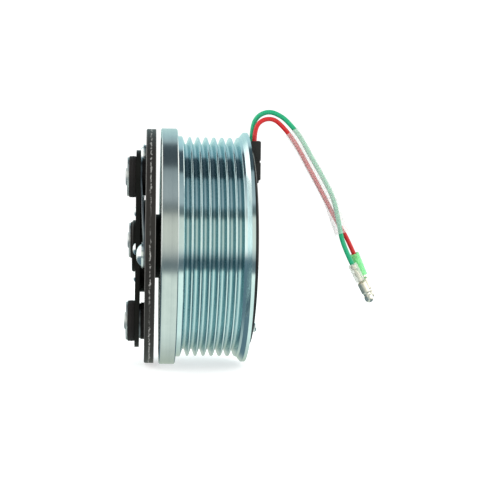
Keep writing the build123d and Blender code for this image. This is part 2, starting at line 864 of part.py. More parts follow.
with BuildPart() as hub:
    with BuildSketch(Plane.XY):
        with BuildLine():
            Polyline(
                (hub_front, nut_recess_radius),
                (hub_front, hub_collar_radius),
                (hub_plate_rear, hub_collar_radius),
                (hub_plate_rear, hub_flange_radius),
                (hub_flange_rear, hub_flange_radius),
                (hub_flange_rear, hub_boss_radius),
                (hub_rear, hub_boss_radius),
                (hub_rear, shim_recess_radius),
                (hub_rear - shim_recess_depth, shim_recess_radius),
                (hub_rear - shim_recess_depth, shaft_bore_radius),
                (nut_recess_floor, shaft_bore_radius),
                (nut_recess_floor, nut_recess_radius),
                close=True,
            )
        make_face()
    revolve(axis=Axis.X)
    chamfer(edges_at(hub, hub_rear, hub_boss_radius), hub_edge)
    chamfer(edges_at(hub, hub_front, hub_collar_radius), hub_edge)
    fillet(edges_at(hub, hub_flange_rear, hub_boss_radius), hub_flange_fillet)
    with BuildSketch(Plane.YZ.offset(nut_recess_floor)):
        with Locations((0, (shaft_bore_radius + key_depth) / 2)):
            Rectangle(key_width, shaft_bore_radius + key_depth)
    extrude(amount=hub_rear - nut_recess_floor, mode=Mode.SUBTRACT)
    with BuildSketch(Plane.YZ.offset(hub_plate_rear)):
        with PolarLocations(hub_rivet_circle_radius, 3, start_angle=hub_rivet_angles[0]):
            Circle(hub_rivet_radius)
    extrude(amount=hub_flange_thickness, mode=Mode.SUBTRACT)
finish(hub, "hub")

with BuildPart() as gap_shims:
    shim_front = hub_rear - shim_recess_depth
    for thickness in shim_thicknesses:
        with BuildSketch(Plane.YZ.offset(shim_front)):
            Circle(shim_recess_radius - shim_clearance)
            Circle(shaft_bore_radius + key_depth + shim_clearance, mode=Mode.SUBTRACT)
        extrude(amount=thickness)
        shim_front += thickness + shim_spacing
finish(gap_shims, "gap_shims")


def arm_outline(angle):
    """The plate's round core and one lobe, joined by straight tangents."""
    with BuildSketch() as arm:
        Circle(hub_core_radius)
        with PolarLocations(damper_circle_radius, 1, start_angle=angle):
            Circle(lobe_radius)
        make_hull()
    return arm.sketch


arms = [arm_outline(angle) for angle in damper_angles]

with BuildPart() as hub_plate:
    with BuildSketch(Plane.YZ.offset(hub_plate_front)) as plate_outline:
        for arm in arms:
            add(arm)
        fillet(plate_outline.vertices().sort_by_distance((0, 0, 0))[:3], waist_fillet)
        Circle(hub_collar_radius, mode=Mode.SUBTRACT)
        with PolarLocations(damper_circle_radius, 3, start_angle=first_damper_angle):
            Circle(damper_rivet_radius, mode=Mode.SUBTRACT)
        with PolarLocations(hub_rivet_circle_radius, 3, start_angle=hub_rivet_angles[0]):
            Circle(hub_rivet_radius, mode=Mode.SUBTRACT)
    extrude(amount=hub_plate_thickness)
finish(hub_plate, "hub_plate")

hub_rivets = domed_rivets(
    hub_rivet_angles,
    hub_rivet_circle_radius,
    hub_plate_front - hub_rivet_head_height,
    hub_rivet_head_height,
    hub_rivet_head_radius,
    hub_rivet_radius,
    [
        (hub_flange_rear, hub_rivet_radius),
        (hub_flange_rear, hub_rivet_head_radius),
        (hub_flange_rear + hub_rivet_head_height, hub_rivet_head_radius / 2),
        (hub_flange_rear + hub_rivet_head_height, 0),
    ],
)
finish(hub_rivets, "hub_rivets")


# ---- Dampers ------------------------------------------------------------------------

pad_thickness = armature_front - spring_rear_at_hub

for number, angle in enumerate(damper_angles, start=1):
    rubber = disc_on_arm(
        angle, damper_circle_radius, damper_front, damper_height, damper_radius, damper_rivet_radius
    )
    finish(rubber, f"damper_rubber_{number}")

    with BuildPart() as damper_cap:
        with BuildSketch(Plane.YZ.offset(cap_front)):
            with PolarLocations(damper_circle_radius, 1, start_angle=angle):
                Circle(cap_radius)
                Circle(damper_rivet_radius, mode=Mode.SUBTRACT)
        extrude(amount=cap_thickness)
        chamfer(damper_cap.faces().sort_by(Axis.X)[0].outer_wire().edges(), cap_edge)
    finish(damper_cap, f"damper_cap_{number}")

    stop_pad = disc_on_arm(
        angle, damper_circle_radius, spring_rear_at_hub, pad_thickness, stop_pad_radius, stop_pad_bore_radius
    )
    finish(stop_pad, f"stop_pad_{number}")

    damper_rivet = domed_rivets(
        [angle],
        damper_circle_radius,
        cap_front - damper_rivet_head_height,
        damper_rivet_head_height,
        damper_rivet_head_radius,
        damper_rivet_radius,
        [
            (spring_rear_at_hub, damper_rivet_radius),
            (spring_rear_at_hub, damper_rivet_head_radius),
            (spring_rear_at_hub + rivet_tail_height, damper_rivet_head_radius - rivet_tail_taper),
            (spring_rear_at_hub + rivet_tail_height, 0),
        ],
    )
    finish(damper_rivet, f"damper_rivet_{number}")
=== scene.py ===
# %% [markdown]
# # An electromagnetic clutch
# The clutch of a belt-driven compressor, shown from its side. A grooved pulley turns on a bearing all the
# time. A coil behind it pulls a sprung iron plate, the armature, against the pulley when the compressor is
# wanted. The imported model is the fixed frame: its parts have the right shape and size, so this script
# dresses them, and remakes only the pieces that a moulder, a wire or a press shaped.

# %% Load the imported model
import math

import bmesh
import bpy
from mathutils import Matrix, Vector


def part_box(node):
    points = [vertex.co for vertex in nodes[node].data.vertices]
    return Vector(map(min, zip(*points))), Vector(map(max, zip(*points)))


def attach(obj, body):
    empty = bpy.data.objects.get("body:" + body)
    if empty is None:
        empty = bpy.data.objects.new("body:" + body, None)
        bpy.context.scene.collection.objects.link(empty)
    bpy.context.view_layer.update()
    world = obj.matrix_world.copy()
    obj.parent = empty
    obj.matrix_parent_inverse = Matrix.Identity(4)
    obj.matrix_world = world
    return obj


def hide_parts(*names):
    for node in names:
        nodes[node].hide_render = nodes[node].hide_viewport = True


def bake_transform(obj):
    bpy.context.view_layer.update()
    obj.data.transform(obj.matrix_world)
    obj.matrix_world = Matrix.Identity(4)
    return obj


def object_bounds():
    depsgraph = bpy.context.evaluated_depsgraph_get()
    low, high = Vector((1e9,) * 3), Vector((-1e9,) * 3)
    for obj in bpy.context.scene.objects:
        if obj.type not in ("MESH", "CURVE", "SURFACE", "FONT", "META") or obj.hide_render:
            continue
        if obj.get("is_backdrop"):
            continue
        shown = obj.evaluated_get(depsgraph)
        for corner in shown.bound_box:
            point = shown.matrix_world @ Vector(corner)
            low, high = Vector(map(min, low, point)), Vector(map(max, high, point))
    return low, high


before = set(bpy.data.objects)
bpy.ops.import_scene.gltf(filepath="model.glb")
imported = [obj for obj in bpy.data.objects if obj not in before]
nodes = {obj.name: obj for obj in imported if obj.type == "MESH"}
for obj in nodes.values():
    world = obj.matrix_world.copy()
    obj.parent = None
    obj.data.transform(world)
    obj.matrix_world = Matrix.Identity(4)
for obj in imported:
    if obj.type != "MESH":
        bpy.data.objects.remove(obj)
bpy.context.view_layer.update()
cad_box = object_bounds()

# %% [markdown]
# ## Units and the clutch's own lines
# Everything is in metres. X is the clutch's axis, with the hub at -X and the coil at +X, and +Z is up.
# Places are read from the frame's boxes, so that a piece follows the model when a size changes there.

# %% Small helpers for places
MM = 0.001
X_AXIS = Vector((1, 0, 0))
ORIGIN = Vector((0, 0, 0))


def middle(node):
    """The centre of a CAD node's box."""
    low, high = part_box(node)
    return (low + high) / 2


def outer_radius(node):
    """Half the height of a node that is round about the clutch's axis."""
    low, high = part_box(node)
    return (high.z - low.z) / 2


def angle_about_axis(point):
    """The angle of a point about X, from +Y towards +Z."""
    return math.atan2(point.z, point.y)


print("rim radius", round(outer_radius("rotor") / MM, 2), "mm")

# %% [markdown]
# ## The camera
# A long lens looks square at the clutch's side, a little turned towards the coil, so that the whole set and
# its leads fit. The slight roll stands for a camera that wasn't quite level.

# %% Camera
camera_data = bpy.data.cameras.new("side_camera")
camera_data.sensor_width = 36
camera_data.lens = 72.4
camera_data.shift_x = 0.07
camera = bpy.data.objects.new("side_camera", camera_data)
bpy.context.scene.collection.objects.link(camera)
bpy.context.scene.camera = camera

CAMERA_DISTANCE = 0.45
CAMERA_TURN = math.radians(3.81)
CAMERA_DIP = math.radians(0.18)
CAMERA_ROLL = math.radians(0.73)
PAST_ARMATURE_FACE = 1.25 * MM
square_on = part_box("armature_plate")[0].x + PAST_ARMATURE_FACE
camera.location = (square_on, -CAMERA_DISTANCE, 0)
turn = Matrix.Rotation(-CAMERA_TURN, 4, "Z") @ Matrix.Rotation(math.pi / 2 - CAMERA_DIP, 4, "X")
camera.rotation_euler = (turn @ Matrix.Rotation(CAMERA_ROLL, 4, "Z")).to_euler()
print("camera stands", CAMERA_DISTANCE, "m from the axis, square on to x =", round(square_on / MM, 1), "mm")

# %% [markdown]
# ## The leads' routes
# The two leads leave the black holder side by side, arch over and hang to their terminals. Their points are
# the same as in the CAD model. A NURBS spline of order 3 turns those few points into one smooth line.

# %% Routes and the curve helper
RED_ROUTE = [
    (0.0230, -0.0013, 0.0470), (0.0230, -0.0013, 0.0533), (0.0264, -0.0012, 0.0574),
    (0.0317, -0.0008, 0.0579), (0.0360, -0.0003, 0.0543), (0.0400, 0.0000, 0.0496),
    (0.0434, 0.0001, 0.0444), (0.0476, 0.0002, 0.0369), (0.0521, 0.0003, 0.0289),
    (0.0565, 0.0006, 0.0209), (0.0608, 0.0012, 0.0128), (0.0665, 0.0017, 0.0043),
    (0.0704, 0.0023, -0.0046),
]
GREEN_ROUTE = [
    (0.0220, 0.0013, 0.0470), (0.0220, 0.0013, 0.0532), (0.0240, 0.0012, 0.0590),
    (0.0296, 0.0008, 0.0616), (0.0356, 0.0003, 0.0591), (0.0396, 0.0000, 0.0552),
    (0.0438, -0.0001, 0.0502), (0.0486, -0.0002, 0.0415), (0.0541, -0.0003, 0.0323),
    (0.0591, -0.0006, 0.0231), (0.0615, -0.0012, 0.0129), (0.0633, -0.0017, 0.0020),
    (0.0680, -0.0022, -0.0073),
]
SLEEVE_ROUTE = [
    (0.0398, 0.0, 0.0524), (0.0436, 0.0, 0.0473), (0.0481, 0.0, 0.0392),
    (0.0531, 0.0, 0.0306), (0.0578, 0.0, 0.0220), (0.0611, 0.0, 0.0129),
    (0.0633, 0.0, 0.0069),
]
RED_DIAMETER = 2.0 * MM
GREEN_DIAMETER = 2.1 * MM
SLEEVE_RADIUS = 3.2 * MM
SLEEVE_WALL = 0.3 * MM


def nurbs_curve(name, route, radius=0.0):
    """One smooth line through a route's control points, round if it has a radius."""
    data = bpy.data.curves.new(name, "CURVE")
    data.dimensions = "3D"
    data.resolution_u = 14
    spline = data.splines.new("NURBS")
    spline.points.add(len(route) - 1)
    for point, place in zip(spline.points, route):
        point.co = (*place, 1)
    spline.order_u = 3
    spline.use_endpoint_u = True
    data.bevel_depth = radius
    data.bevel_resolution = 6
    data.use_fill_caps = radius > 0
    obj = bpy.data.objects.new(name, data)
    bpy.context.scene.collection.objects.link(obj)
    return obj


def points_along(route):
    """The smooth line of a route as points, read back from its NURBS spline."""
    guide = nurbs_curve("guide", route)
    mesh = bpy.data.meshes.new_from_object(guide)
    points = [v.co.copy() for v in mesh.vertices]
    bpy.data.objects.remove(guide)
    bpy.data.meshes.remove(mesh)
    return points


sleeve_line = points_along(SLEEVE_ROUTE)
print("points read from the sleeve's line", len(sleeve_line))

# %% [markdown]
# ## Shared effects as node groups
# Several finishes share the same small effects: the fine grooves that a lathe leaves, the uneven grain of
# paint and moulded rubber, and the scuffs of handling. Each is a node group with its own inputs, built once.
# The groups work on Object coordinates in millimetres, so a pattern has its real size and turns with its
# part. All lengths that belong to a finish are plain millimetres too.

# %% Group helpers


def new_group(name, inputs, outputs):
    """A shader node group with float inputs (name, default) and float outputs, and its two end nodes."""
    group = bpy.data.node_groups.new(name, "ShaderNodeTree")
    for label, default in inputs:
        socket = group.interface.new_socket(label, in_out="INPUT", socket_type="NodeSocketFloat")
        socket.default_value = default
    for label in outputs:
        group.interface.new_socket(label, in_out="OUTPUT", socket_type="NodeSocketFloat")
    return group, group.nodes.new("NodeGroupInput"), group.nodes.new("NodeGroupOutput")


def put(tree, kind, **settings):
    """A node of one kind, with its properties and sockets set by name."""
    node = tree.nodes.new(kind)
    for key, value in settings.items():
        if hasattr(node, key):
            setattr(node, key, value)
        else:
            node.inputs[key.replace("_", " ")].default_value = value
    return node


def feed(tree, socket, value):
    """Link a socket to another one, or type a constant on it."""
    if isinstance(value, bpy.types.NodeSocket):
        tree.links.new(value, socket)
    else:
        socket.default_value = value


def calc(tree, operation, first, second=0.0):
    """A Math node's output; each input is a socket or a number."""
    node = put(tree, "ShaderNodeMath", operation=operation)
    feed(tree, node.inputs[0], first)
    feed(tree, node.inputs[1], second)
    return node.outputs[0]


def object_millimetres(tree):
    """Object coordinates scaled to millimetres."""
    scale = put(tree, "ShaderNodeVectorMath", operation="SCALE", Scale=1 / MM)
    tree.links.new(put(tree, "ShaderNodeTexCoord").outputs["Object"], scale.inputs[0])
    return scale.outputs[0]


def x_y_z(tree, vector):
    """A vector's three parts as sockets."""
    parts = put(tree, "ShaderNodeSeparateXYZ")
    tree.links.new(vector, parts.inputs[0])
    return parts.outputs


def distance_from_axis(tree, across_y, across_z):
    """The distance from the clutch's axis, in the same unit as the two sockets."""
    squares = [calc(tree, "MULTIPLY", across, across) for across in (across_y, across_z)]
    return calc(tree, "SQRT", calc(tree, "ADD", *squares))


def noise_of(tree, vector, frequency, detail=3.0, roughness=0.55):
    """A noise whose waves are about 1/frequency of a millimetre long."""
    node = put(tree, "ShaderNodeTexNoise", Scale=frequency, Detail=detail, Roughness=roughness)
    tree.links.new(vector, node.inputs["Vector"])
    return node.outputs["Fac"]


def remap(tree, value, low, high, to_low=0.0, to_high=1.0):
    """A value stretched between two levels and held there."""
    node = put(tree, "ShaderNodeMapRange", From_Min=low, From_Max=high, To_Min=to_low, To_Max=to_high)
    tree.links.new(value, node.inputs["Value"])
    return node.outputs["Result"]


# %% [markdown]
# ### Turning marks
# A lathe tool leaves a fine spiral. Round the axis the surface hardly changes, and across it the height
# changes quickly. So the noise is read at (x, distance from the axis), and never round the circle.

# %% Turning marks group


def turning_marks_group():
    group, given, result = new_group("turning_marks", [("Marks per mm", 6.0)], ["Height", "Tone"])
    along, across_y, across_z = x_y_z(group, object_millimetres(group))
    radius = distance_from_axis(group, across_y, across_z)
    place = put(group, "ShaderNodeCombineXYZ")
    group.links.new(calc(group, "MULTIPLY", along, given.outputs[0]), place.inputs["X"])
    group.links.new(calc(group, "MULTIPLY", radius, given.outputs[0]), place.inputs["Y"])
    group.links.new(noise_of(group, place.outputs[0], 1.0, detail=2.0), result.inputs["Height"])
    group.links.new(noise_of(group, place.outputs[0], 0.12, detail=4.0), result.inputs["Tone"])
    return group


turning_marks = turning_marks_group()
print("group", turning_marks.name)

# %% [markdown]
# ### Grain
# Paint, phosphate, moulded plastic and rubber aren't mirror-flat. A small noise gives their grain, and a
# slow one makes some patches a little shinier or paler than others.

# %% Grain group


def grain_group():
    group, given, result = new_group("grain", [("Grains per mm", 2.0)], ["Height", "Patches"])
    place = object_millimetres(group)
    fine = put(group, "ShaderNodeVectorMath", operation="SCALE")
    group.links.new(place, fine.inputs[0])
    group.links.new(given.outputs[0], fine.inputs["Scale"])
    group.links.new(noise_of(group, fine.outputs[0], 1.0, detail=4.0), result.inputs["Height"])
    group.links.new(noise_of(group, place, 0.11, detail=5.0), result.inputs["Patches"])
    return group


grain = grain_group()
print("group", grain.name)

# %% [markdown]
# ### Scuffs
# Parts that knock together in a box lose their finish in thin, broken lines. Two stretched noises, one cut
# off high, give sparse scratches. Amount says how many there are.

# %% Scuffs group
SCUFF_STRETCH = (3.2, 0.35, 0.35)
SCUFF_TURN = (0.2, 0.5, 0.3)
LINES_SHARE = 0.75
CLOUDS_SHARE = 0.45
LEVEL_WITH_NONE = 0.86
LEVEL_DROP = 0.25
SCUFF_EDGE = 0.06


def scuffs_group():
    group, given, result = new_group("scuffs", [("Amount", 0.3)], ["Mask"])
    place = object_millimetres(group)
    stretched = put(group, "ShaderNodeMapping", Scale=SCUFF_STRETCH, Rotation=SCUFF_TURN)
    group.links.new(place, stretched.inputs["Vector"])
    lines = noise_of(group, stretched.outputs[0], 1.0, detail=6.0, roughness=0.7)
    clouds = noise_of(group, place, 0.09, detail=2.0)
    level = calc(group, "SUBTRACT", LEVEL_WITH_NONE, calc(group, "MULTIPLY", given.outputs[0], LEVEL_DROP))
    lines = calc(group, "MULTIPLY", lines, LINES_SHARE)
    strength = calc(group, "ADD", lines, calc(group, "MULTIPLY", clouds, CLOUDS_SHARE))
    above = calc(group, "SUBTRACT", strength, level)
    group.links.new(remap(group, above, 0.0, SCUFF_EDGE), result.inputs["Mask"])
    return group


scuffs = scuffs_group()
print("group", scuffs.name)

# %% [markdown]
# ## Finishes
# Each finish is one Principled BSDF. Constants are typed straight on its sockets, and the groups feed only
# what changes over the surface: colour, roughness and the height that bumps the normal.

# %% Material helpers


def new_material(name, **sockets):
    """A material with one Principled BSDF, its constant sockets set by name."""
    material = bpy.data.materials.new(name)
    material.use_nodes = True
    shader = material.node_tree.nodes["Principled BSDF"]
    for label, value in sockets.items():
        shader.inputs[label.replace("_", " ")].default_value = value
    return material, material.node_tree, shader


def use_group(tree, group, **inputs):
    """A node group placed in a material, with its inputs set by name."""
    return put(tree, "ShaderNodeGroup", node_tree=group, **inputs)


def mix_colour(tree, factor, first, second):
    """Colour between two colours by a factor socket; each colour is a socket or three numbers."""
    node = put(tree, "ShaderNodeMix", data_type="RGBA")
    tree.links.new(factor, node.inputs[0])
    for socket, value in ((node.inputs[6], first), (node.inputs[7], second)):
        feed(tree, socket, (*value, 1) if isinstance(value, tuple) else value)
    return node.outputs[2]


def bump(tree, shader, height, millimetres):
    """Height on the shader's normal, as deep as so many millimetres."""
    node = put(tree, "ShaderNodeBump", Distance=millimetres * MM, Strength=1.0)
    tree.links.new(height, node.inputs["Height"])
    tree.links.new(node.outputs[0], shader.inputs["Normal"])


# %% [markdown]
# ### Turned and plated steel
# The pulley's front rim is bare turned steel and its grooved rim is zinc plated, with the blue-green tint of
# a thin passivation. Both are nearly mirrors: most of what the eye sees is the studio in them. Little light
# gets down between the ribs, so the plating darkens from their tops to the floor of the grooves.

# %% Steel finishes


def turned_metal(name, light, dark, roughness, marks, depth, spread=0.06, grooves=None):
    """Metal with turning marks; its tone drifts between two colours and its roughness with it.

    The optional grooves give a painted shade colour and the two distances from the axis, in millimetres,
    between which the metal goes from that painted shade to its own colour, darker towards the groove floors.
    """
    material, tree, shader = new_material(name, Metallic=1.0)
    lathe = use_group(tree, turning_marks, Marks_per_mm=marks)
    patches = use_group(tree, grain, Grains_per_mm=0.5).outputs["Patches"]
    tone = calc(tree, "MULTIPLY", calc(tree, "ADD", lathe.outputs["Tone"], patches), 0.5)
    tone = remap(tree, tone, 0.35, 0.65)
    colour = mix_colour(tree, tone, dark, light)
    # Painted shade: the colour darkens from the ribs' tops to the groove floors, where little light gets
    # down.
    if grooves:
        deep, floor_radius, rib_radius = grooves
        place = x_y_z(tree, object_millimetres(tree))
        radius = distance_from_axis(tree, place["Y"], place["Z"])
        colour = mix_colour(tree, remap(tree, radius, floor_radius, rib_radius), deep, colour)
    tree.links.new(colour, shader.inputs["Base Color"])
    tree.links.new(remap(tree, tone, 0.0, 1.0, roughness + spread, roughness), shader.inputs["Roughness"])
    bump(tree, shader, lathe.outputs["Height"], depth)
    return material


def plain_metal(name, light, dark, roughness, grains=1.5, depth=0.004, amount=0.2):
    """Pressed or formed metal: a fine grain, soft patches and a few scuffs."""
    material, tree, shader = new_material(name, Metallic=1.0)
    surface = use_group(tree, grain, Grains_per_mm=grains)
    worn = use_group(tree, scuffs, Amount=amount).outputs["Mask"]
    tone = remap(tree, surface.outputs["Patches"], 0.35, 0.65)
    tree.links.new(mix_colour(tree, tone, dark, light), shader.inputs["Base Color"])
    rough = remap(tree, tone, 0.0, 1.0, roughness + 0.08, roughness)
    tree.links.new(calc(tree, "ADD", rough, calc(tree, "MULTIPLY", worn, 0.2)), shader.inputs["Roughness"])
    bump(tree, shader, surface.outputs["Height"], depth)
    return material


# The first colour below is painted shade for the groove floors, not a colour of the plating.
GROOVE_PAINTED_SHADE = (0.52, 0.67, 0.70)
GROOVE_FLOOR = 46.2
RIB_TOP = 47.9
turned_steel = turned_metal("turned_steel", (0.66, 0.70, 0.69), (0.57, 0.61, 0.61), 0.17, 5.0, 0.0016)
zinc_plate = turned_metal(
    "zinc_plate", (0.74, 0.86, 0.87), (0.62, 0.76, 0.79), 0.10, 3.5, 0.0010, spread=0.05,
    grooves=(GROOVE_PAINTED_SHADE, GROOVE_FLOOR, RIB_TOP),
)
bearing_steel = turned_metal("bearing_steel", (0.66, 0.67, 0.67), (0.58, 0.59, 0.59), 0.14, 9.0, 0.0006)
bright_steel = plain_metal("bright_steel", (0.80, 0.83, 0.83), (0.66, 0.70, 0.71), 0.22)
spring_steel = plain_metal(
    "spring_steel", (0.26, 0.28, 0.30), (0.17, 0.18, 0.20), 0.28, grains=3.0, depth=0.002
)
pressed_steel = plain_metal(
    "pressed_steel", (0.62, 0.63, 0.63), (0.48, 0.49, 0.49), 0.34, grains=2.0, depth=0.004
)
ball_steel = plain_metal(
    "ball_steel", (0.76, 0.77, 0.78), (0.72, 0.73, 0.74), 0.06, depth=0.0003, amount=0.0
)
print("materials in the file", len(bpy.data.materials))

# %% [markdown]
# ### Blackened iron, paint and lining
# The armature and the hub's plate are phosphated black, the coil's shell and plate are painted. Scuffs show
# a little grey metal through both. The friction lining is a pressed grey-brown mix with specks.

# %% Dark finishes


def black_finish(name, dark, pale, roughness, grains, depth, amount, shine=0.5):
    """A black coat with grain, pale scuffs and uneven shine."""
    material, tree, shader = new_material(name, Specular_IOR_Level=shine)
    surface = use_group(tree, grain, Grains_per_mm=grains)
    worn = use_group(tree, scuffs, Amount=amount).outputs["Mask"]
    coat = mix_colour(tree, surface.outputs["Patches"], dark, tuple(1.5 * c for c in dark))
    tree.links.new(mix_colour(tree, worn, coat, pale), shader.inputs["Base Color"])
    rough = remap(tree, surface.outputs["Patches"], 0.3, 0.7, roughness - 0.06, roughness + 0.08)
    tree.links.new(rough, shader.inputs["Roughness"])
    tree.links.new(calc(tree, "MULTIPLY", worn, 0.6), shader.inputs["Metallic"])
    bump(tree, shader, surface.outputs["Height"], depth)
    return material


black_phosphate = black_finish(
    "black_phosphate", dark=(0.007, 0.007, 0.006), pale=(0.16, 0.16, 0.15),
    roughness=0.45, grains=2.5, depth=0.012, amount=0.30, shine=0.14,
)
black_paint = black_finish(
    "black_paint", dark=(0.010, 0.010, 0.010), pale=(0.12, 0.12, 0.12),
    roughness=0.30, grains=1.2, depth=0.010, amount=0.15, shine=0.35,
)
black_plastic = black_finish(
    "black_plastic", dark=(0.014, 0.014, 0.014), pale=(0.05, 0.05, 0.05),
    roughness=0.40, grains=4.0, depth=0.010, amount=0.1, shine=0.3,
)
black_rubber = black_finish(
    "black_rubber", dark=(0.014, 0.012, 0.012), pale=(0.05, 0.05, 0.05),
    roughness=0.60, grains=3.0, depth=0.020, amount=0.1, shine=0.2,
)
lining_mix = black_finish(
    "lining_mix", dark=(0.055, 0.048, 0.040), pale=(0.30, 0.22, 0.12),
    roughness=0.75, grains=5.0, depth=0.06, amount=0.75, shine=0.2,
)
cast_epoxy = black_finish(
    "cast_epoxy", dark=(0.020, 0.014, 0.010), pale=(0.06, 0.05, 0.04),
    roughness=0.16, grains=0.8, depth=0.03, amount=0.1,
)
print("materials in the file", len(bpy.data.materials))

# %% [markdown]
# ### The armature's worn rim and painted edge highlights
# The armature's rim has been turned over and knocked about. A pale line is painted along its two corners: a
# painted highlight where the edge would catch the light, partly rubbed wear. A broken, wandering scratch
# runs round its middle. Both are placed by x and the distance from the axis.

# %% Worn armature with painted edge highlights
SCRATCH_WANDER = 2.2
SCRATCH_WIDTH = (0.10, 0.34)
# Where the painted corner highlight lies, and how strong it is.
CORNER_ALONG = (0.32, 0.1)
CORNER_ACROSS = (0.5, 0.2)
EDGE_HIGHLIGHT_SHARE = 0.45


def worn_armature_painted_highlight():
    """Black coat with a painted highlight line at each corner, partly rubbed wear, and a wandering scratch
    round the middle.
    """
    material, tree, shader = new_material("worn_armature_painted_highlight", Roughness=0.45, Specular_IOR_Level=0.26)
    low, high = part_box("armature_plate")
    place = object_millimetres(tree)
    along, across_y, across_z = x_y_z(tree, place)
    surface = use_group(tree, grain, Grains_per_mm=2.5)
    coarse = noise_of(tree, place, 0.5, detail=6.0, roughness=0.7)
    from_middle = calc(tree, "SUBTRACT", along, (low.x + high.x) / 2 / MM)
    wander = calc(tree, "MULTIPLY", calc(tree, "SUBTRACT", coarse, 0.5), SCRATCH_WANDER)
    off_line = calc(tree, "ABSOLUTE", calc(tree, "SUBTRACT", from_middle, wander))
    line = remap(tree, off_line, *SCRATCH_WIDTH, 1.0, 0.0)
    broken = remap(tree, noise_of(tree, place, 0.8, detail=5.0), 0.40, 0.54)
    arcs = remap(tree, noise_of(tree, place, 0.03, detail=1.0), 0.34, 0.50)
    scratch = calc(tree, "MULTIPLY", calc(tree, "MULTIPLY", line, broken), arcs)
    half = (high.x - low.x) / 2 / MM
    rim = (high.z - low.z) / 2 / MM
    radius = distance_from_axis(tree, across_y, across_z)
    at_face = remap(tree, calc(tree, "ABSOLUTE", from_middle), *(half - inset for inset in CORNER_ALONG))
    at_rim = remap(tree, radius, *(rim - inset for inset in CORNER_ACROSS))
    # Painted highlight: a pale line along each corner where the edge would catch the light, partly rubbed
    # wear.
    corner = calc(tree, "MULTIPLY", calc(tree, "MULTIPLY", at_face, at_rim), EDGE_HIGHLIGHT_SHARE)
    scratch_and_highlight = calc(tree, "MAXIMUM", scratch, corner)
    coat = mix_colour(tree, surface.outputs["Patches"], (0.012, 0.010, 0.009), (0.026, 0.023, 0.021))
    # The pale colour serves the scratch, which is wear, and the corner lines, which are painted highlight
    # and partly wear.
    tree.links.new(mix_colour(tree, scratch_and_highlight, coat, (0.36, 0.35, 0.34)), shader.inputs["Base Color"])
    bump(tree, shader, surface.outputs["Height"], 0.012)
    return material


armature_black = worn_armature_painted_highlight()
print("armature finish", armature_black.name)

# %% [markdown]
# ### Nylon and copper wire
# The coil's bobbin and the ball cages are uncoloured nylon, which is waxy and lets a little light in. The
# winding is enamelled copper in tight layers. A sine along x raises one ridge for each turn, with a painted
# highlight on its top and painted shade between turns, which is far cheaper than hundreds of modelled wires.

# %% Coil finishes
WIRE_PITCH = 0.8


def nylon_material():
    """Uncoloured moulded nylon."""
    material, tree, shader = new_material("natural_nylon", Roughness=0.45, Subsurface_Weight=0.15)
    surface = use_group(tree, grain, Grains_per_mm=1.5)
    shade = mix_colour(tree, surface.outputs["Patches"], (0.62, 0.58, 0.46), (0.72, 0.69, 0.58))
    tree.links.new(shade, shader.inputs["Base Color"])
    bump(tree, shader, surface.outputs["Height"], 0.01)
    return material


def winding_material():
    """Enamelled copper wire: a ridge for each turn, with a painted highlight on its top and painted shade
    between turns.
    """
    material, tree, shader = new_material("copper_winding", Metallic=1.0, Roughness=0.28, Coat_Weight=0.4)
    along = x_y_z(tree, object_millimetres(tree))["X"]
    turns = calc(tree, "SINE", calc(tree, "MULTIPLY", along, math.tau / WIRE_PITCH))
    # Painted highlight and shade: the colour is lighter on each ridge's top and darker between turns.
    shade = mix_colour(tree, remap(tree, turns, -1.0, 1.0), (0.30, 0.10, 0.03), (0.66, 0.30, 0.12))
    tree.links.new(shade, shader.inputs["Base Color"])
    bump(tree, shader, turns, 0.15)
    return material


natural_nylon = nylon_material()
copper_winding = winding_material()
print("coil finishes", natural_nylon.name, copper_winding.name)

# %% [markdown]
# ### Wire insulation, clear sleeves and tinned brass
# PVC on a lead is fairly glossy, with soft patches of shine. The sleeves are thin clear plastic: an alpha
# below one lets the leads show through, and Layer Weight raises it towards the outline, where the eye looks
# through more of the wall.

# %% Lead finishes


def pvc(name, colour, deep):
    """Coloured insulation whose tone and shine drift along the lead."""
    material, tree, shader = new_material(name, Specular_IOR_Level=0.35)
    surface = use_group(tree, grain, Grains_per_mm=1.2)
    tree.links.new(mix_colour(tree, surface.outputs["Patches"], deep, colour), shader.inputs["Base Color"])
    rough = remap(tree, surface.outputs["Patches"], 0.3, 0.7, 0.30, 0.42)
    tree.links.new(rough, shader.inputs["Roughness"])
    bump(tree, shader, surface.outputs["Height"], 0.012)
    return material


def clear_sleeve(name, colour, middle_alpha, edge_alpha, crinkle, relief):
    """Clear plastic, thinner to the eye where it faces it, with crinkles so many to a millimetre."""
    material, tree, shader = new_material(name, Roughness=0.18, Specular_IOR_Level=0.5)
    surface = use_group(tree, grain, Grains_per_mm=crinkle)
    pale = tuple(min(1.0, 1.1 * c) for c in colour)
    tree.links.new(mix_colour(tree, surface.outputs["Patches"], colour, pale), shader.inputs["Base Color"])
    facing = put(tree, "ShaderNodeLayerWeight", Blend=0.25).outputs["Facing"]
    tree.links.new(remap(tree, facing, 0.0, 1.0, middle_alpha, edge_alpha), shader.inputs["Alpha"])
    bump(tree, shader, surface.outputs["Height"], relief)
    return material


red_pvc = pvc("red_pvc", (0.72, 0.028, 0.030), (0.50, 0.015, 0.018))
green_pvc = pvc("green_pvc", (0.020, 0.46, 0.22), (0.012, 0.34, 0.16))
milky_sleeve = clear_sleeve("milky_sleeve", (0.98, 0.98, 0.98), 0.17, 0.36, 0.25, 0.01)
crinkled_sleeve = clear_sleeve("crinkled_sleeve", (0.80, 0.82, 0.76), 0.22, 0.70, 0.9, 0.12)
green_sleeve = clear_sleeve("green_sleeve", (0.25, 0.90, 0.36), 0.45, 0.80, 0.4, 0.02)
tinned_brass = plain_metal(
    "tinned_brass", (0.93, 0.89, 0.79), (0.87, 0.80, 0.64), 0.36, grains=0.8, depth=0.004
)
print("materials in the file", len(bpy.data.materials))

# %% [markdown]
# ## Dressing the CAD parts
# A CAD node whose shape is right only needs its finish. Its object and mesh stay untouched.

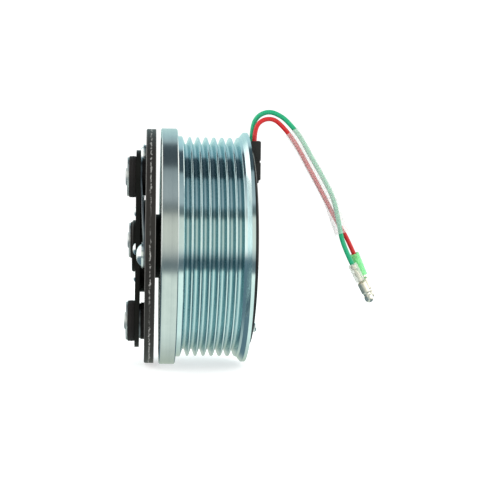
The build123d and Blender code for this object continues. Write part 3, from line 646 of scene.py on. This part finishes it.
# %% Finish of each CAD node
FINISHES = {
    turned_steel: ["rotor"],
    zinc_plate: ["belt_rim"],
    bearing_steel: ["bearing_inner_ring", "bearing_outer_ring"],
    ball_steel: ["bearing_balls_front", "bearing_balls_rear"],
    bright_steel: ["locating_pin", "hub_rivets", "armature_rivets", "rivet_washers"],
    spring_steel: ["bearing_retaining_ring", "gap_shims"],
    black_phosphate: ["hub", "hub_plate"],
    armature_black: ["armature_plate"],
    black_paint: ["coil_shell", "coil_plate"],
    lining_mix: ["friction_lining"],
    cast_epoxy: ["coil_potting"],
    natural_nylon: ["coil_bobbin", "ball_cage_front", "ball_cage_rear"],
    copper_winding: ["coil_winding"],
    black_rubber: ["stop_pad_1", "stop_pad_2", "stop_pad_3"],
}


for finish, names in FINISHES.items():
    for name in names:
        nodes[name].data.materials.clear()
        nodes[name].data.materials.append(finish)
print("CAD nodes dressed", sum(len(names) for names in FINISHES.values()))

# %% [markdown]
# ## Making new pieces
# Turned shapes start as a few vertices in the plane of (x, radius) and are spun about X. Sharp corners are
# bevelled a little, because no real edge is a knife's. The finished mesh holds its own place, and its
# object stays at the world's origin.

# %% Mesh helpers
EDGE_ANGLE = math.radians(32)


def turned(outline, steps=96, closed=True):
    """A bmesh spun about X from (x, radius) points in metres."""
    bm = bmesh.new()
    verts = [bm.verts.new((x, 0, radius)) for x, radius in outline]
    edges = [bm.edges.new(pair) for pair in zip(verts, verts[1:])]
    if closed:
        edges.append(bm.edges.new((verts[-1], verts[0])))
    bmesh.ops.spin(
        bm, geom=verts + edges, cent=ORIGIN, axis=X_AXIS, angle=math.tau, steps=steps, use_merge=True
    )
    tidy(bm)
    return bm


def tidy(bm):
    """Merge doubles and turn every face outwards."""
    bmesh.ops.remove_doubles(bm, verts=bm.verts, dist=1e-6)
    bmesh.ops.recalc_face_normals(bm, faces=bm.faces)


def soften(bm, width, segments=3):
    """Bevel the corners that are sharper than the edge angle."""
    sharp = [e for e in bm.edges if len(e.link_faces) == 2 and e.calc_face_angle() > EDGE_ANGLE]
    bmesh.ops.bevel(
        bm, geom=sharp, offset=width, segments=segments, profile=0.5, affect="EDGES", material=-1,
        clamp_overlap=True,
    )


def move(bm, matrix):
    """Move, turn or scale a whole bmesh."""
    bmesh.ops.transform(bm, matrix=matrix, verts=bm.verts)


def declare(obj, body, replaces):
    """Say which body a piece rides, and which CAD nodes it stands for."""
    if body:
        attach(obj, body)
    if replaces:
        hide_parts(*replaces)


def piece(bm, name, material, body=None, replaces=()):
    mesh = bpy.data.meshes.new(name)
    bm.to_mesh(mesh)
    bm.free()
    for polygon in mesh.polygons:
        polygon.use_smooth = True
    mesh.set_sharp_from_angle(angle=EDGE_ANGLE)
    mesh.materials.append(material)
    obj = bpy.data.objects.new(name, mesh)
    bpy.context.scene.collection.objects.link(obj)
    declare(obj, body, replaces)
    return obj


# %% [markdown]
# ## The dampers on the hub's arms
# Each arm carries a moulded rubber block behind a pressed washer, held by a rivet. The rubber bulges
# slightly between its two clamped faces and has a thin parting line. The washer has small bevels and a
# raised ring. They are turned, one set for each arm, and each set sits where its CAD node does.

# %% Damper sets
SHANK_RADIUS = 2.2 * MM
RUBBER_BULGE = 0.08 * MM
RUBBER_SEAM = 0.10 * MM
HEAD_HEIGHT = 0.7 * MM
TAIL_HEIGHT = 0.9 * MM
RIVET_EDGE = 0.06 * MM


def damper_rubber(node):
    """The bulged rubber block with its parting line."""
    low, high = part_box(node)
    radius = outer_radius(node)
    width = high.x - low.x
    centre = low.x + 0.55 * width
    crown = radius + RUBBER_BULGE
    shoulder = radius + 0.6 * RUBBER_BULGE
    return turned([
        (low.x, SHANK_RADIUS), (low.x, radius - 0.2 * MM), (low.x + 0.2 * MM, radius),
        (low.x + 0.3 * width, shoulder), (centre - RUBBER_SEAM, crown),
        (centre, crown + 0.8 * RUBBER_SEAM), (centre + RUBBER_SEAM, crown),
        (low.x + 0.8 * width, shoulder), (high.x - 0.2 * MM, radius),
        (high.x, radius - 0.2 * MM), (high.x, SHANK_RADIUS),
    ])


def damper_washer(node):
    """The pressed washer: a flat with a raised ring and bevelled edges."""
    low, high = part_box(node)
    radius = outer_radius(node)
    back = high.x
    front = low.x
    return turned([
        (back, SHANK_RADIUS), (back, radius - 0.05 * MM), (back - 0.05 * MM, radius),
        (front + 0.15 * MM, radius), (front + 0.03 * MM, radius - 0.12 * MM), (front, radius - 0.4 * MM),
        (front, radius - 1.5 * MM), (front + 0.25 * MM, radius - 2.0 * MM), (front + 0.25 * MM, 4.6 * MM),
        (front, 4.2 * MM), (front, SHANK_RADIUS),
    ])


def damper_rivet(node):
    """The rivet with its dished head, and a clenched tail behind the spring."""
    low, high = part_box(node)
    head = outer_radius(node)
    return turned([
        (low.x + 0.22 * MM, 0), (low.x + 0.18 * MM, 1.4 * MM), (low.x, 2.0 * MM),
        (low.x + 0.05 * MM, 2.9 * MM), (low.x + 0.3 * MM, head - 0.15 * MM), (low.x + HEAD_HEIGHT, head),
        (low.x + HEAD_HEIGHT, SHANK_RADIUS), (high.x - TAIL_HEIGHT, SHANK_RADIUS),
        (high.x - TAIL_HEIGHT, head), (high.x - 0.4 * MM, head - 0.35 * MM), (high.x, head - 1.4 * MM),
        (high.x, 0),
    ], closed=False)


# %% One damper set for each arm
DAMPER_PIECES = [
    ("damper_rubber", "rubber_block", damper_rubber, black_rubber, 0),
    ("damper_cap", "damper_washer", damper_washer, pressed_steel, 0),
    ("damper_rivet", "set_rivet", damper_rivet, pressed_steel, RIVET_EDGE),
]

for number in (1, 2, 3):
    for node_stem, piece_stem, make, finish, edge in DAMPER_PIECES:
        node = f"{node_stem}_{number}"
        centre = middle(node)
        bm = make(node)
        if edge:
            soften(bm, edge, segments=2)
        move(bm, Matrix.Translation((0, centre.y, centre.z)))
        piece(bm, f"{piece_stem}_{number}", finish, "hub", [node])
    print("damper set", number, "at y, z", round(centre.y / MM, 1), round(centre.z / MM, 1), "mm")

# %% [markdown]
# ## The leaf springs
# Three steel strips join the hub to the armature. When the coil pulls, the armature moves and the strips
# bend, so a rigid strip would tear off. Each is a copy of the CAD strip, merged and cut across in many
# places, and stands in the CAD strip's place.

# %% Leaf springs
SPRING_CUTS = 10
EYE_CLEAR = 8.5 * MM
TIP_CLEAR = 6.5 * MM
ARMATURE_RIVET_CIRCLE = 46.5 * MM
SPRING_TURN = math.radians(60)
FLAT_ANGLE = math.radians(0.5)

for number in (1, 2, 3):
    node = f"leaf_spring_{number}"
    eye = middle(f"damper_rivet_{number}")
    eye.x = 0
    tip_angle = angle_about_axis(eye) + SPRING_TURN
    tip = Vector((0, math.cos(tip_angle), math.sin(tip_angle))) * ARMATURE_RIVET_CIRCLE
    along = (tip - eye).normalized()
    bend_start = eye + along * EYE_CLEAR
    bend_end = tip - along * TIP_CLEAR
    bm = bmesh.new()
    bm.from_mesh(nodes[node].data)
    tidy(bm)
    bmesh.ops.dissolve_limit(
        bm, angle_limit=FLAT_ANGLE, use_dissolve_boundaries=False, verts=bm.verts, edges=bm.edges
    )
    for cut in range(1, SPRING_CUTS):
        place = bend_start.lerp(bend_end, cut / SPRING_CUTS)
        bmesh.ops.bisect_plane(
            bm, geom=bm.verts[:] + bm.edges[:] + bm.faces[:], plane_co=place, plane_no=along, dist=1e-7
        )
    leaf = piece(bm, f"leaf_{number}", spring_steel, None, [node])
    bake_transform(leaf)
    print(leaf.name, "bends over", round((bend_end - bend_start).length / MM, 1), "mm")

# %% [markdown]
# ## The bearing's seals
# A rubber seal is moulded on a steel disc: a bead seats in the outer ring, a flat carries a shallow step,
# and a thin lip rides near the inner ring. Both faces of the bearing show one.

# %% Seals
SEAL_LIP_RADIUS = 20.3 * MM


def seal(node, outwards):
    """A stepped seal whose outer face looks along outwards (-1 or 1)."""
    low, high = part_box(node)
    outer = outer_radius(node)
    inner = SEAL_LIP_RADIUS
    face, back = (low.x, high.x) if outwards < 0 else (high.x, low.x)

    def at(depth):
        return face - outwards * depth * MM

    return turned([
        (back, inner + 0.5 * MM), (at(0.35), inner), (at(0.2), inner), (at(0.2), inner + 0.45 * MM),
        (at(0.45), inner + 0.65 * MM), (at(0.45), inner + 0.95 * MM), (at(0.12), inner + 1.15 * MM),
        (at(0.12), outer - 0.85 * MM), (at(0.35), outer - 0.75 * MM), (at(0.35), outer - 0.55 * MM),
        (at(0.0), outer - 0.4 * MM), (at(0.0), outer - 0.1 * MM), (at(0.15), outer), (back, outer),
    ], steps=128)


for node, outwards in (("bearing_seal_front", -1), ("bearing_seal_rear", 1)):
    name = node.replace("bearing_seal", "lip_seal")
    piece(seal(node, outwards), name, black_rubber, "pulley", [node])
    print(name, "reaches", round(outer_radius(node) / MM, 2), "mm from the axis")

# %% [markdown]
# ## The lead holder
# A moulded clip on the coil's back holds the two leads. It is two blocks with softened edges and a latch
# line between them, three grip bars set into the lower one, a small tab on top, and a collar round each
# lead. Each block starts as a cube, and the round parts are spun.

# %% Block helpers


def block(low, high, edge=0.0):
    """A box between two corners, with softened edges."""
    bm = bmesh.new()
    bmesh.ops.create_cube(bm, size=1)
    size = Vector(high) - Vector(low)
    centre = (Vector(high) + Vector(low)) / 2
    move(bm, Matrix.Translation(centre) @ Matrix.Diagonal((*size, 1)))
    if edge:
        soften(bm, edge)
    return bm


def slab(back, rear, half_width, low_z, high_z, edge=0.0):
    """A block that lies evenly on both sides of y = 0."""
    return block((back, -half_width, low_z), (rear, half_width, high_z), edge)


def joined(shapes):
    """Several bmeshes as one."""
    whole = bmesh.new()
    for part in shapes:
        scratch = bpy.data.meshes.new("scratch")
        part.to_mesh(scratch)
        part.free()
        whole.from_mesh(scratch)
        bpy.data.meshes.remove(scratch)
    return whole


# %% Lead holder
holder_low, holder_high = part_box("lead_holder")
plate_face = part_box("coil_plate")[1].x
top = RED_ROUTE[0][2]
rear = holder_high.x
bottom = holder_low.z
half_width = holder_high.y
latch_z = top - 9.0 * MM
latch_gap = 0.8 * MM
latch_top = latch_z + latch_gap / 2
latch_bottom = latch_z - latch_gap / 2
tail_in = 1.6 * MM
groove = 0.4 * MM
BLOCK_EDGE = 0.35 * MM
BARS = 3
BAR_STEP = 1.6 * MM
LOWEST_BAR = 4.0 * MM
BAR_WIDTH = 0.7 * MM
BAR_DEPTH = 0.3 * MM
BAR_EDGE = 0.12 * MM
STUB_RADIUS = 2.4 * MM
STUB_HEIGHT = 36.5 * MM

holder_parts = [
    slab(plate_face, rear, half_width, latch_top, top, BLOCK_EDGE),
    slab(plate_face, rear, half_width, bottom + tail_in, latch_bottom, BLOCK_EDGE),
    slab(
        plate_face, rear - tail_in / 2, half_width - 0.2 * MM, bottom + 0.3 * MM, bottom + 2 * tail_in,
        0.3 * MM,
    ),
    slab(plate_face, rear - groove, half_width - groove, latch_z - latch_gap, latch_z + latch_gap),
    slab(rear - 1.4 * MM, rear, 1.8 * MM, top - 0.5 * MM, holder_high.z, 0.15 * MM),
]
for bar in range(BARS):
    bar_z = bottom + LOWEST_BAR + BAR_STEP * bar
    holder_parts.append(
        slab(rear - BAR_DEPTH, rear, half_width - 1.2 * MM, bar_z, bar_z + BAR_WIDTH, BAR_EDGE)
    )
print("lead holder's blocks", len(holder_parts))

# %% Collars, stub and the finished clip
COLLAR_OUTLINE = [(-0.3 * MM, 0.9 * MM), (0.5 * MM, 0.9 * MM), (0.5 * MM, 1.25 * MM), (-0.3 * MM, 1.45 * MM)]
for start in (RED_ROUTE[0], GREEN_ROUTE[0]):
    collar = turned(COLLAR_OUTLINE, steps=32)
    move(collar, Matrix.Translation(start) @ Matrix.Rotation(-math.pi / 2, 4, "Y"))
    holder_parts.append(collar)
stub_outline = [(holder_low.x, 0), (holder_low.x, STUB_RADIUS), (plate_face, STUB_RADIUS), (plate_face, 0)]
stub = turned(stub_outline, steps=48, closed=False)
move(stub, Matrix.Translation((0, 0, STUB_HEIGHT)))
holder_parts.append(stub)
piece(joined(holder_parts), "lead_clip", black_plastic, "stator", ["lead_holder"])
print("lead clip stands", round((rear - plate_face) / MM, 2), "mm proud of the coil's plate")

# %% [markdown]
# ## Weld marks on the coil's plate
# The shell is projection welded to the plate, which leaves a ring of small round dents with raised rims.
# Each mark is turned about X and set on the plate's face.

# %% Weld marks
WELDS = 8
WELD_CIRCLE = 39.6 * MM
WELD_OUTLINE = [
    (-0.2 * MM, 0), (-0.2 * MM, 1.9 * MM), (0.0, 1.8 * MM), (0.10 * MM, 1.5 * MM), (0.06 * MM, 1.2 * MM),
    (0.02 * MM, 0.8 * MM), (0.02 * MM, 0),
]
marks = []
for index in range(WELDS):
    angle = math.tau * (index + 0.5) / WELDS
    mark = turned(WELD_OUTLINE, steps=32, closed=False)
    place = Vector((plate_face, WELD_CIRCLE * math.cos(angle), WELD_CIRCLE * math.sin(angle)))
    move(mark, Matrix.Translation(place))
    marks.append(mark)
piece(joined(marks), "weld_marks", black_paint, "stator")
print("weld marks", len(marks))

# %% [markdown]
# ## Leads, sleeve and terminals
# The leads are round NURBS curves. The clear sleeve is a thin-walled tube along its own line, open at both
# ends. A ring of vertices is drawn along the line with extrude, each ring turned to stand square to it, and
# a Solidify modifier gives the tube its wall. The inside stays clear of the leads, or they would show
# through the wall in a fine pattern.

# %% Leads
red_cable = nurbs_curve("red_cable", RED_ROUTE, RED_DIAMETER / 2)
green_cable = nurbs_curve("green_cable", GREEN_ROUTE, GREEN_DIAMETER / 2)
for cable, node, finish in ((red_cable, "red_lead", red_pvc), (green_cable, "green_lead", green_pvc)):
    cable.data.materials.append(finish)
    declare(cable, "stator", [node])
print("leads", red_cable.name, green_cable.name)

# %% Sleeve
WALL_SPARED = 0.05 * MM
SLEEVE_FLARE = 0.10 * MM
FLARED_SHARE = 0.04
SLEEVE_RIPPLE = 0.03 * MM
SLEEVE_WAVES = 1.5


def tube_along(line, radius_at, sides=32):
    """An open tube along points; radius_at gives its radius for a share of the way, 0 to 1."""
    bm = bmesh.new()
    heading = (line[1] - line[0]).normalized()
    start = Matrix.Translation(line[0]) @ heading.to_track_quat("Z", "Y").to_matrix().to_4x4()
    bmesh.ops.create_circle(bm, segments=sides, radius=radius_at(0.0), matrix=start)
    edges = bm.edges[:]
    for index in range(1, len(line)):
        ahead = line[min(index + 1, len(line) - 1)]
        new_heading = (ahead - line[index - 1]).normalized()
        made = bmesh.ops.extrude_edge_only(bm, edges=edges)["geom"]
        ring = {g for g in made if isinstance(g, bmesh.types.BMVert)}
        edges = [g for g in made if isinstance(g, bmesh.types.BMEdge) and set(g.verts) <= ring]
        turn = heading.rotation_difference(new_heading).to_matrix().to_4x4()
        share = radius_at(index / (len(line) - 1)) / radius_at((index - 1) / (len(line) - 1))
        grow = turn @ Matrix.Scale(share, 4)
        step = Matrix.Translation(line[index]) @ grow @ Matrix.Translation(-line[index - 1])
        bmesh.ops.transform(bm, matrix=step, verts=list(ring))
        heading = new_heading
    bmesh.ops.recalc_face_normals(bm, faces=bm.faces)
    return bm


def sleeve_radius(share):
    """The sleeve is round, a little wavy along its length, and flared at its two cut ends."""
    near_start = max(0.0, 1 - share / FLARED_SHARE)
    near_end = max(0.0, (share - (1 - FLARED_SHARE)) / FLARED_SHARE)
    ripple = SLEEVE_RIPPLE * (1 + math.sin(math.tau * SLEEVE_WAVES * share))
    return SLEEVE_RADIUS + SLEEVE_FLARE * (near_start + near_end) - ripple


def give_wall(obj, thickness):
    """Thicken an open tube inwards."""
    wall = obj.modifiers.new("wall", "SOLIDIFY")
    wall.thickness = thickness
    wall.offset = -1


sleeve_piece = piece(
    tube_along(sleeve_line, sleeve_radius), "clear_lead_sleeve", milky_sleeve, "stator",
    ["lead_sleeve"],
)
give_wall(sleeve_piece, SLEEVE_WALL - WALL_SPARED)
sleeve_length = sum((b - a).length for a, b in zip(sleeve_line, sleeve_line[1:]))
print("sleeve's line", round(sleeve_length / MM, 1), "mm")

# %% [markdown]
# ### Bullet terminals
# A bullet terminal is folded from sheet: two small wings are crimped over the insulation, two over the bare
# strands, and the nose is a hollow bullet with a detent groove. The nose and the crimps are turned, the
# wings' seam is pressed in along the top, and a short bundle of strands joins them.

# %% Terminals
BULLET_RADIUS = 1.95 * MM
RED_TERMINAL_LENGTH = 19.5 * MM
GREEN_TERMINAL_LENGTH = 18.7 * MM
NOSE_LENGTH = 9.6 * MM
OVER_INSULATION = (0.0, 2.2 * MM, 1.33 * MM)
OVER_STRANDS = (3.4 * MM, 5.9 * MM, 1.15 * MM)
BARE_STRANDS = (2.0 * MM, 3.6 * MM)
WIRES_AROUND = 6
TIP_STEPS = 6
TIP_STEP_DEGREES = 12
SEAM_ANGLE = math.radians(24)
SEAM_DEPTH = 0.30


def terminal_matrix(route):
    """The place of a terminal: X along the end of its lead."""
    end = Vector(route[-1])
    heading = (end - Vector(route[-2])).normalized()
    return Matrix.Translation(end) @ heading.to_track_quat("X", "Z").to_matrix().to_4x4()


def bullet(length, radius):
    """The nose: a taper, a land, the detent groove, and a rounded, hollow tip."""
    tip = length - radius
    back = length - NOSE_LENGTH
    groove_floor = radius - 0.35 * MM
    outline = [(4.2 * MM, 0.0), (4.2 * MM, 0.85 * MM), (back - 0.9 * MM, 1.0 * MM), (back, radius)]
    outline += [(tip - 3.0 * MM, radius), (tip - 2.5 * MM, groove_floor), (tip - 1.7 * MM, groove_floor)]
    outline += [(tip - 1.2 * MM, radius), (tip, radius)]
    for step in range(1, TIP_STEPS + 1):
        angle = math.radians(TIP_STEP_DEGREES * step)
        outline.append((tip + radius * math.sin(angle), radius * math.cos(angle)))
    outline += [(length - 0.12 * MM, 0.45 * MM), (length - 0.8 * MM, 0.4 * MM), (length - 0.8 * MM, 0.0)]
    return turned(outline, steps=48, closed=False)


def crimp(start, end, radius):
    """A barrel of two wings curled over: round outside, with a seam pressed in along its top."""
    rise = 0.25 * MM
    outline = [
        (start, 0.0), (start, radius - rise), (start + rise, radius), (end - rise, radius),
        (end, radius - rise), (end, 0.0),
    ]
    bm = turned(outline, steps=48, closed=False)
    lengthwise = [e for e in bm.edges if abs(e.verts[0].co.x - e.verts[1].co.x) > 2 * rise]
    bmesh.ops.subdivide_edges(bm, edges=lengthwise, cuts=6)
    for vert in bm.verts:
        around = abs(math.atan2(vert.co.y, vert.co.z))
        if around < SEAM_ANGLE and start + rise < vert.co.x < end - rise:
            pinch = SEAM_DEPTH * (1 - around / SEAM_ANGLE)
            vert.co.y *= 1 - pinch
            vert.co.z *= 1 - pinch
    return bm


def strands(start, end, radius):
    """The bare end of the lead: a ring of wires round one in the middle."""
    wires = []
    wire = radius / 3
    for index in range(WIRES_AROUND + 1):
        angle = math.tau * index / WIRES_AROUND
        ring = 0.0 if index == WIRES_AROUND else 2 * wire
        line = turned([(start, 0.0), (start, wire), (end, wire), (end, 0.0)], steps=10, closed=False)
        move(line, Matrix.Translation((0, ring * math.cos(angle), ring * math.sin(angle))))
        wires.append(line)
    return wires


def terminal(name, node, route, length, lead_radius):
    """One terminal in line with the end of its lead."""
    whole = joined([
        bullet(length, BULLET_RADIUS), crimp(*OVER_INSULATION), crimp(*OVER_STRANDS),
        *strands(*BARE_STRANDS, 0.7 * lead_radius),
    ])
    move(whole, terminal_matrix(route))
    return piece(whole, name, tinned_brass, "stator", [node])


# %% Both terminals
red_terminal = terminal(
    "red_bullet_end", "red_terminal", RED_ROUTE, RED_TERMINAL_LENGTH, RED_DIAMETER / 2
)
green_terminal = terminal(
    "green_bullet_end", "green_terminal", GREEN_ROUTE, GREEN_TERMINAL_LENGTH, GREEN_DIAMETER / 2
)
for end_piece in (red_terminal, green_terminal):
    print(end_piece.name, "has", len(end_piece.data.polygons), "faces")

# %% [markdown]
# ### Boots
# A short clear sleeve is slipped over each terminal's crimps: a green one on the red lead and a crinkled,
# colourless one on the green lead.

# %% Boots
BOOT_RINGS = 40
BOOT_WAVES = 4.5
BOOT_WALL = 0.3 * MM


def boot(name, node, route, start, end, radius, material, wrinkle):
    """A thin insulating sleeve round a crimp, with a few soft wrinkles."""
    line = [Vector((start + (end - start) * index / BOOT_RINGS, 0, 0)) for index in range(BOOT_RINGS + 1)]

    def radius_at(share):
        return radius - wrinkle * (0.5 + 0.5 * math.sin(math.tau * BOOT_WAVES * share))

    bm = tube_along(line, radius_at)
    move(bm, terminal_matrix(route))
    obj = piece(bm, name, material, "stator", [node])
    give_wall(obj, BOOT_WALL)
    return obj


red_boot = boot(
    "green_tint_boot", "red_terminal_sleeve", RED_ROUTE, start=-2.5 * MM, end=8.2 * MM, radius=2.3 * MM,
    material=green_sleeve, wrinkle=0.03 * MM,
)
green_boot = boot(
    "clear_boot", "green_terminal_sleeve", GREEN_ROUTE, start=-0.4 * MM, end=8.2 * MM, radius=1.9 * MM,
    material=crinkled_sleeve, wrinkle=0.18 * MM,
)

# %% [markdown]
# ## The studio
# The clutch stands on a white table in a white room. What gives polished metal its look are the dark strips
# between the bright parts: two low ones in front and a broad one overhead. They are painted on the world by
# the angle about the clutch's axis, from -180 to 180 degrees with 0 level in front and 90 overhead. To both
# sides they fade into a side light, which is strong above the table's level and starts nearer the middle
# and dim below it. The camera itself sees plain white.

# %% World
world = bpy.data.worlds.new("white_room")
bpy.context.scene.world = world
world.use_nodes = True
room = world.node_tree
room.nodes.clear()

direction = put(room, "ShaderNodeTexCoord").outputs["Generated"]
side_x, away, up = x_y_z(room, direction)
height = calc(room, "ARCTAN2", up, calc(room, "MULTIPLY", away, -1.0))
share = calc(room, "ADD", calc(room, "DIVIDE", height, math.tau), 0.5)

ROOM_BANDS = [
    (-180, (0.55, 0.62, 0.56)),
    (-150, (0.52, 0.61, 0.52)),
    (-118, (0.68, 0.78, 0.72)),
    (-98, (0.92, 1.06, 0.99)),
    (-27, (1.00, 1.13, 1.04)),
    (-24, (0.18, 0.24, 0.26)),
    (-15, (0.12, 0.17, 0.19)),
    (-6, (0.62, 0.68, 0.65)),
    (0, (0.80, 0.85, 0.77)),
    (28, (0.74, 0.78, 0.71)),
    (32, (0.16, 0.20, 0.20)),
    (39, (0.16, 0.21, 0.22)),
    (44, (0.48, 0.56, 0.58)),
    (78, (0.33, 0.41, 0.43)),
    (82, (0.06, 0.085, 0.10)),
    (113, (0.07, 0.10, 0.12)),
    (119, (0.46, 0.60, 0.64)),
    (130, (0.52, 0.74, 0.78)),
    (180, (0.62, 0.90, 0.86)),
]
bands = put(room, "ShaderNodeValToRGB")
ramp = bands.color_ramp
while len(ramp.elements) < len(ROOM_BANDS):
    ramp.elements.new(0.5)
for element, (degrees, colour) in zip(ramp.elements, ROOM_BANDS):
    element.position = degrees / 360 + 0.5
    element.color = (*colour, 1)
room.links.new(share, bands.inputs["Fac"])

# %% Side light and what the camera sees
TABLE_LEVEL = (-0.2, -0.02)
SIDE_START = 0.10
SIDE_START_RAISED = 0.26
SIDE_FADE = 0.24
SIDE_LOW = (0.13, 0.21, 0.25)
SIDE_HIGH = (1.65, 1.65, 1.58)
SEEN_WHITE = (1.1, 1.1, 1.1)
raised = remap(room, up, *TABLE_LEVEL)
side_start = calc(room, "ADD", SIDE_START, calc(room, "MULTIPLY", raised, SIDE_START_RAISED))
past_start = calc(room, "SUBTRACT", calc(room, "ABSOLUTE", side_x), side_start)
to_side = remap(room, past_start, 0.0, SIDE_FADE)
side_light = mix_colour(room, raised, SIDE_LOW, SIDE_HIGH)
lit = mix_colour(room, to_side, bands.outputs["Color"], side_light)
rays = put(room, "ShaderNodeLightPath")
seen = mix_colour(room, rays.outputs["Is Camera Ray"], lit, SEEN_WHITE)
background = put(room, "ShaderNodeBackground")
room.links.new(seen, background.inputs["Color"])
room.links.new(background.outputs[0], put(room, "ShaderNodeOutputWorld").inputs["Surface"])
bpy.context.scene.view_settings.view_transform = "Standard"
print("room bands", len(ROOM_BANDS))

# %% [markdown]
# ## Floor and lights
# The table is a big pale disc under the clutch's lowest edge. It is hidden from mirrors, because the world
# already holds its reflection, and it glows a little, so that it is as white as the room. Two soft lights,
# one high in front and one high behind, give the shapes a direction.

# %% Floor and lights
FLOOR_RADIUS = 3.0
TABLE_GLOW = 0.62
floor_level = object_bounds()[0].z
floor_mesh = bmesh.new()
bmesh.ops.create_circle(floor_mesh, cap_ends=True, segments=96, radius=FLOOR_RADIUS)
move(floor_mesh, Matrix.Translation((0, 0, floor_level)))
white_table, table_tree, table_shader = new_material("white_table", Roughness=0.6)
table_patches = use_group(table_tree, grain, Grains_per_mm=0.2).outputs["Patches"]
table_colour = mix_colour(table_tree, table_patches, (0.60, 0.60, 0.60), (0.62, 0.62, 0.62))
table_tree.links.new(table_colour, table_shader.inputs["Base Color"])
table_shader.inputs["Emission Color"].default_value = (1, 1, 1, 1)
table_shader.inputs["Emission Strength"].default_value = TABLE_GLOW
floor = piece(floor_mesh, "table", white_table)
floor.visible_glossy = False
floor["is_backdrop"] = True
print("table at z", round(floor_level / MM, 2), "mm")


def soft_light(name, place, size, watts):
    """A square area light that looks at the clutch."""
    data = bpy.data.lights.new(name, "AREA")
    data.size = size
    data.energy = watts
    light = bpy.data.objects.new(name, data)
    light.location = place
    light.rotation_euler = (-Vector(place)).to_track_quat("-Z", "Y").to_euler()
    light.visible_glossy = False
    bpy.context.scene.collection.objects.link(light)


soft_light("front_light", (-0.35, -0.75, 0.85), 0.6, 3.0)
soft_light("back_light", (0.5, 0.7, 0.8), 0.7, 2.5)
print("lights", len(bpy.data.lights))

# %% [markdown]
# ## Sizes
# The CAD box and the finished box are printed side by side, to show that the looks haven't grown the part.

# %% Print the sizes and finish
bpy.context.view_layer.update()
visual_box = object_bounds()
for label, corners in (("cad", cad_box), ("visual", visual_box)):
    print(label, [[round(value / MM, 2) for value in corner] for corner in corners])
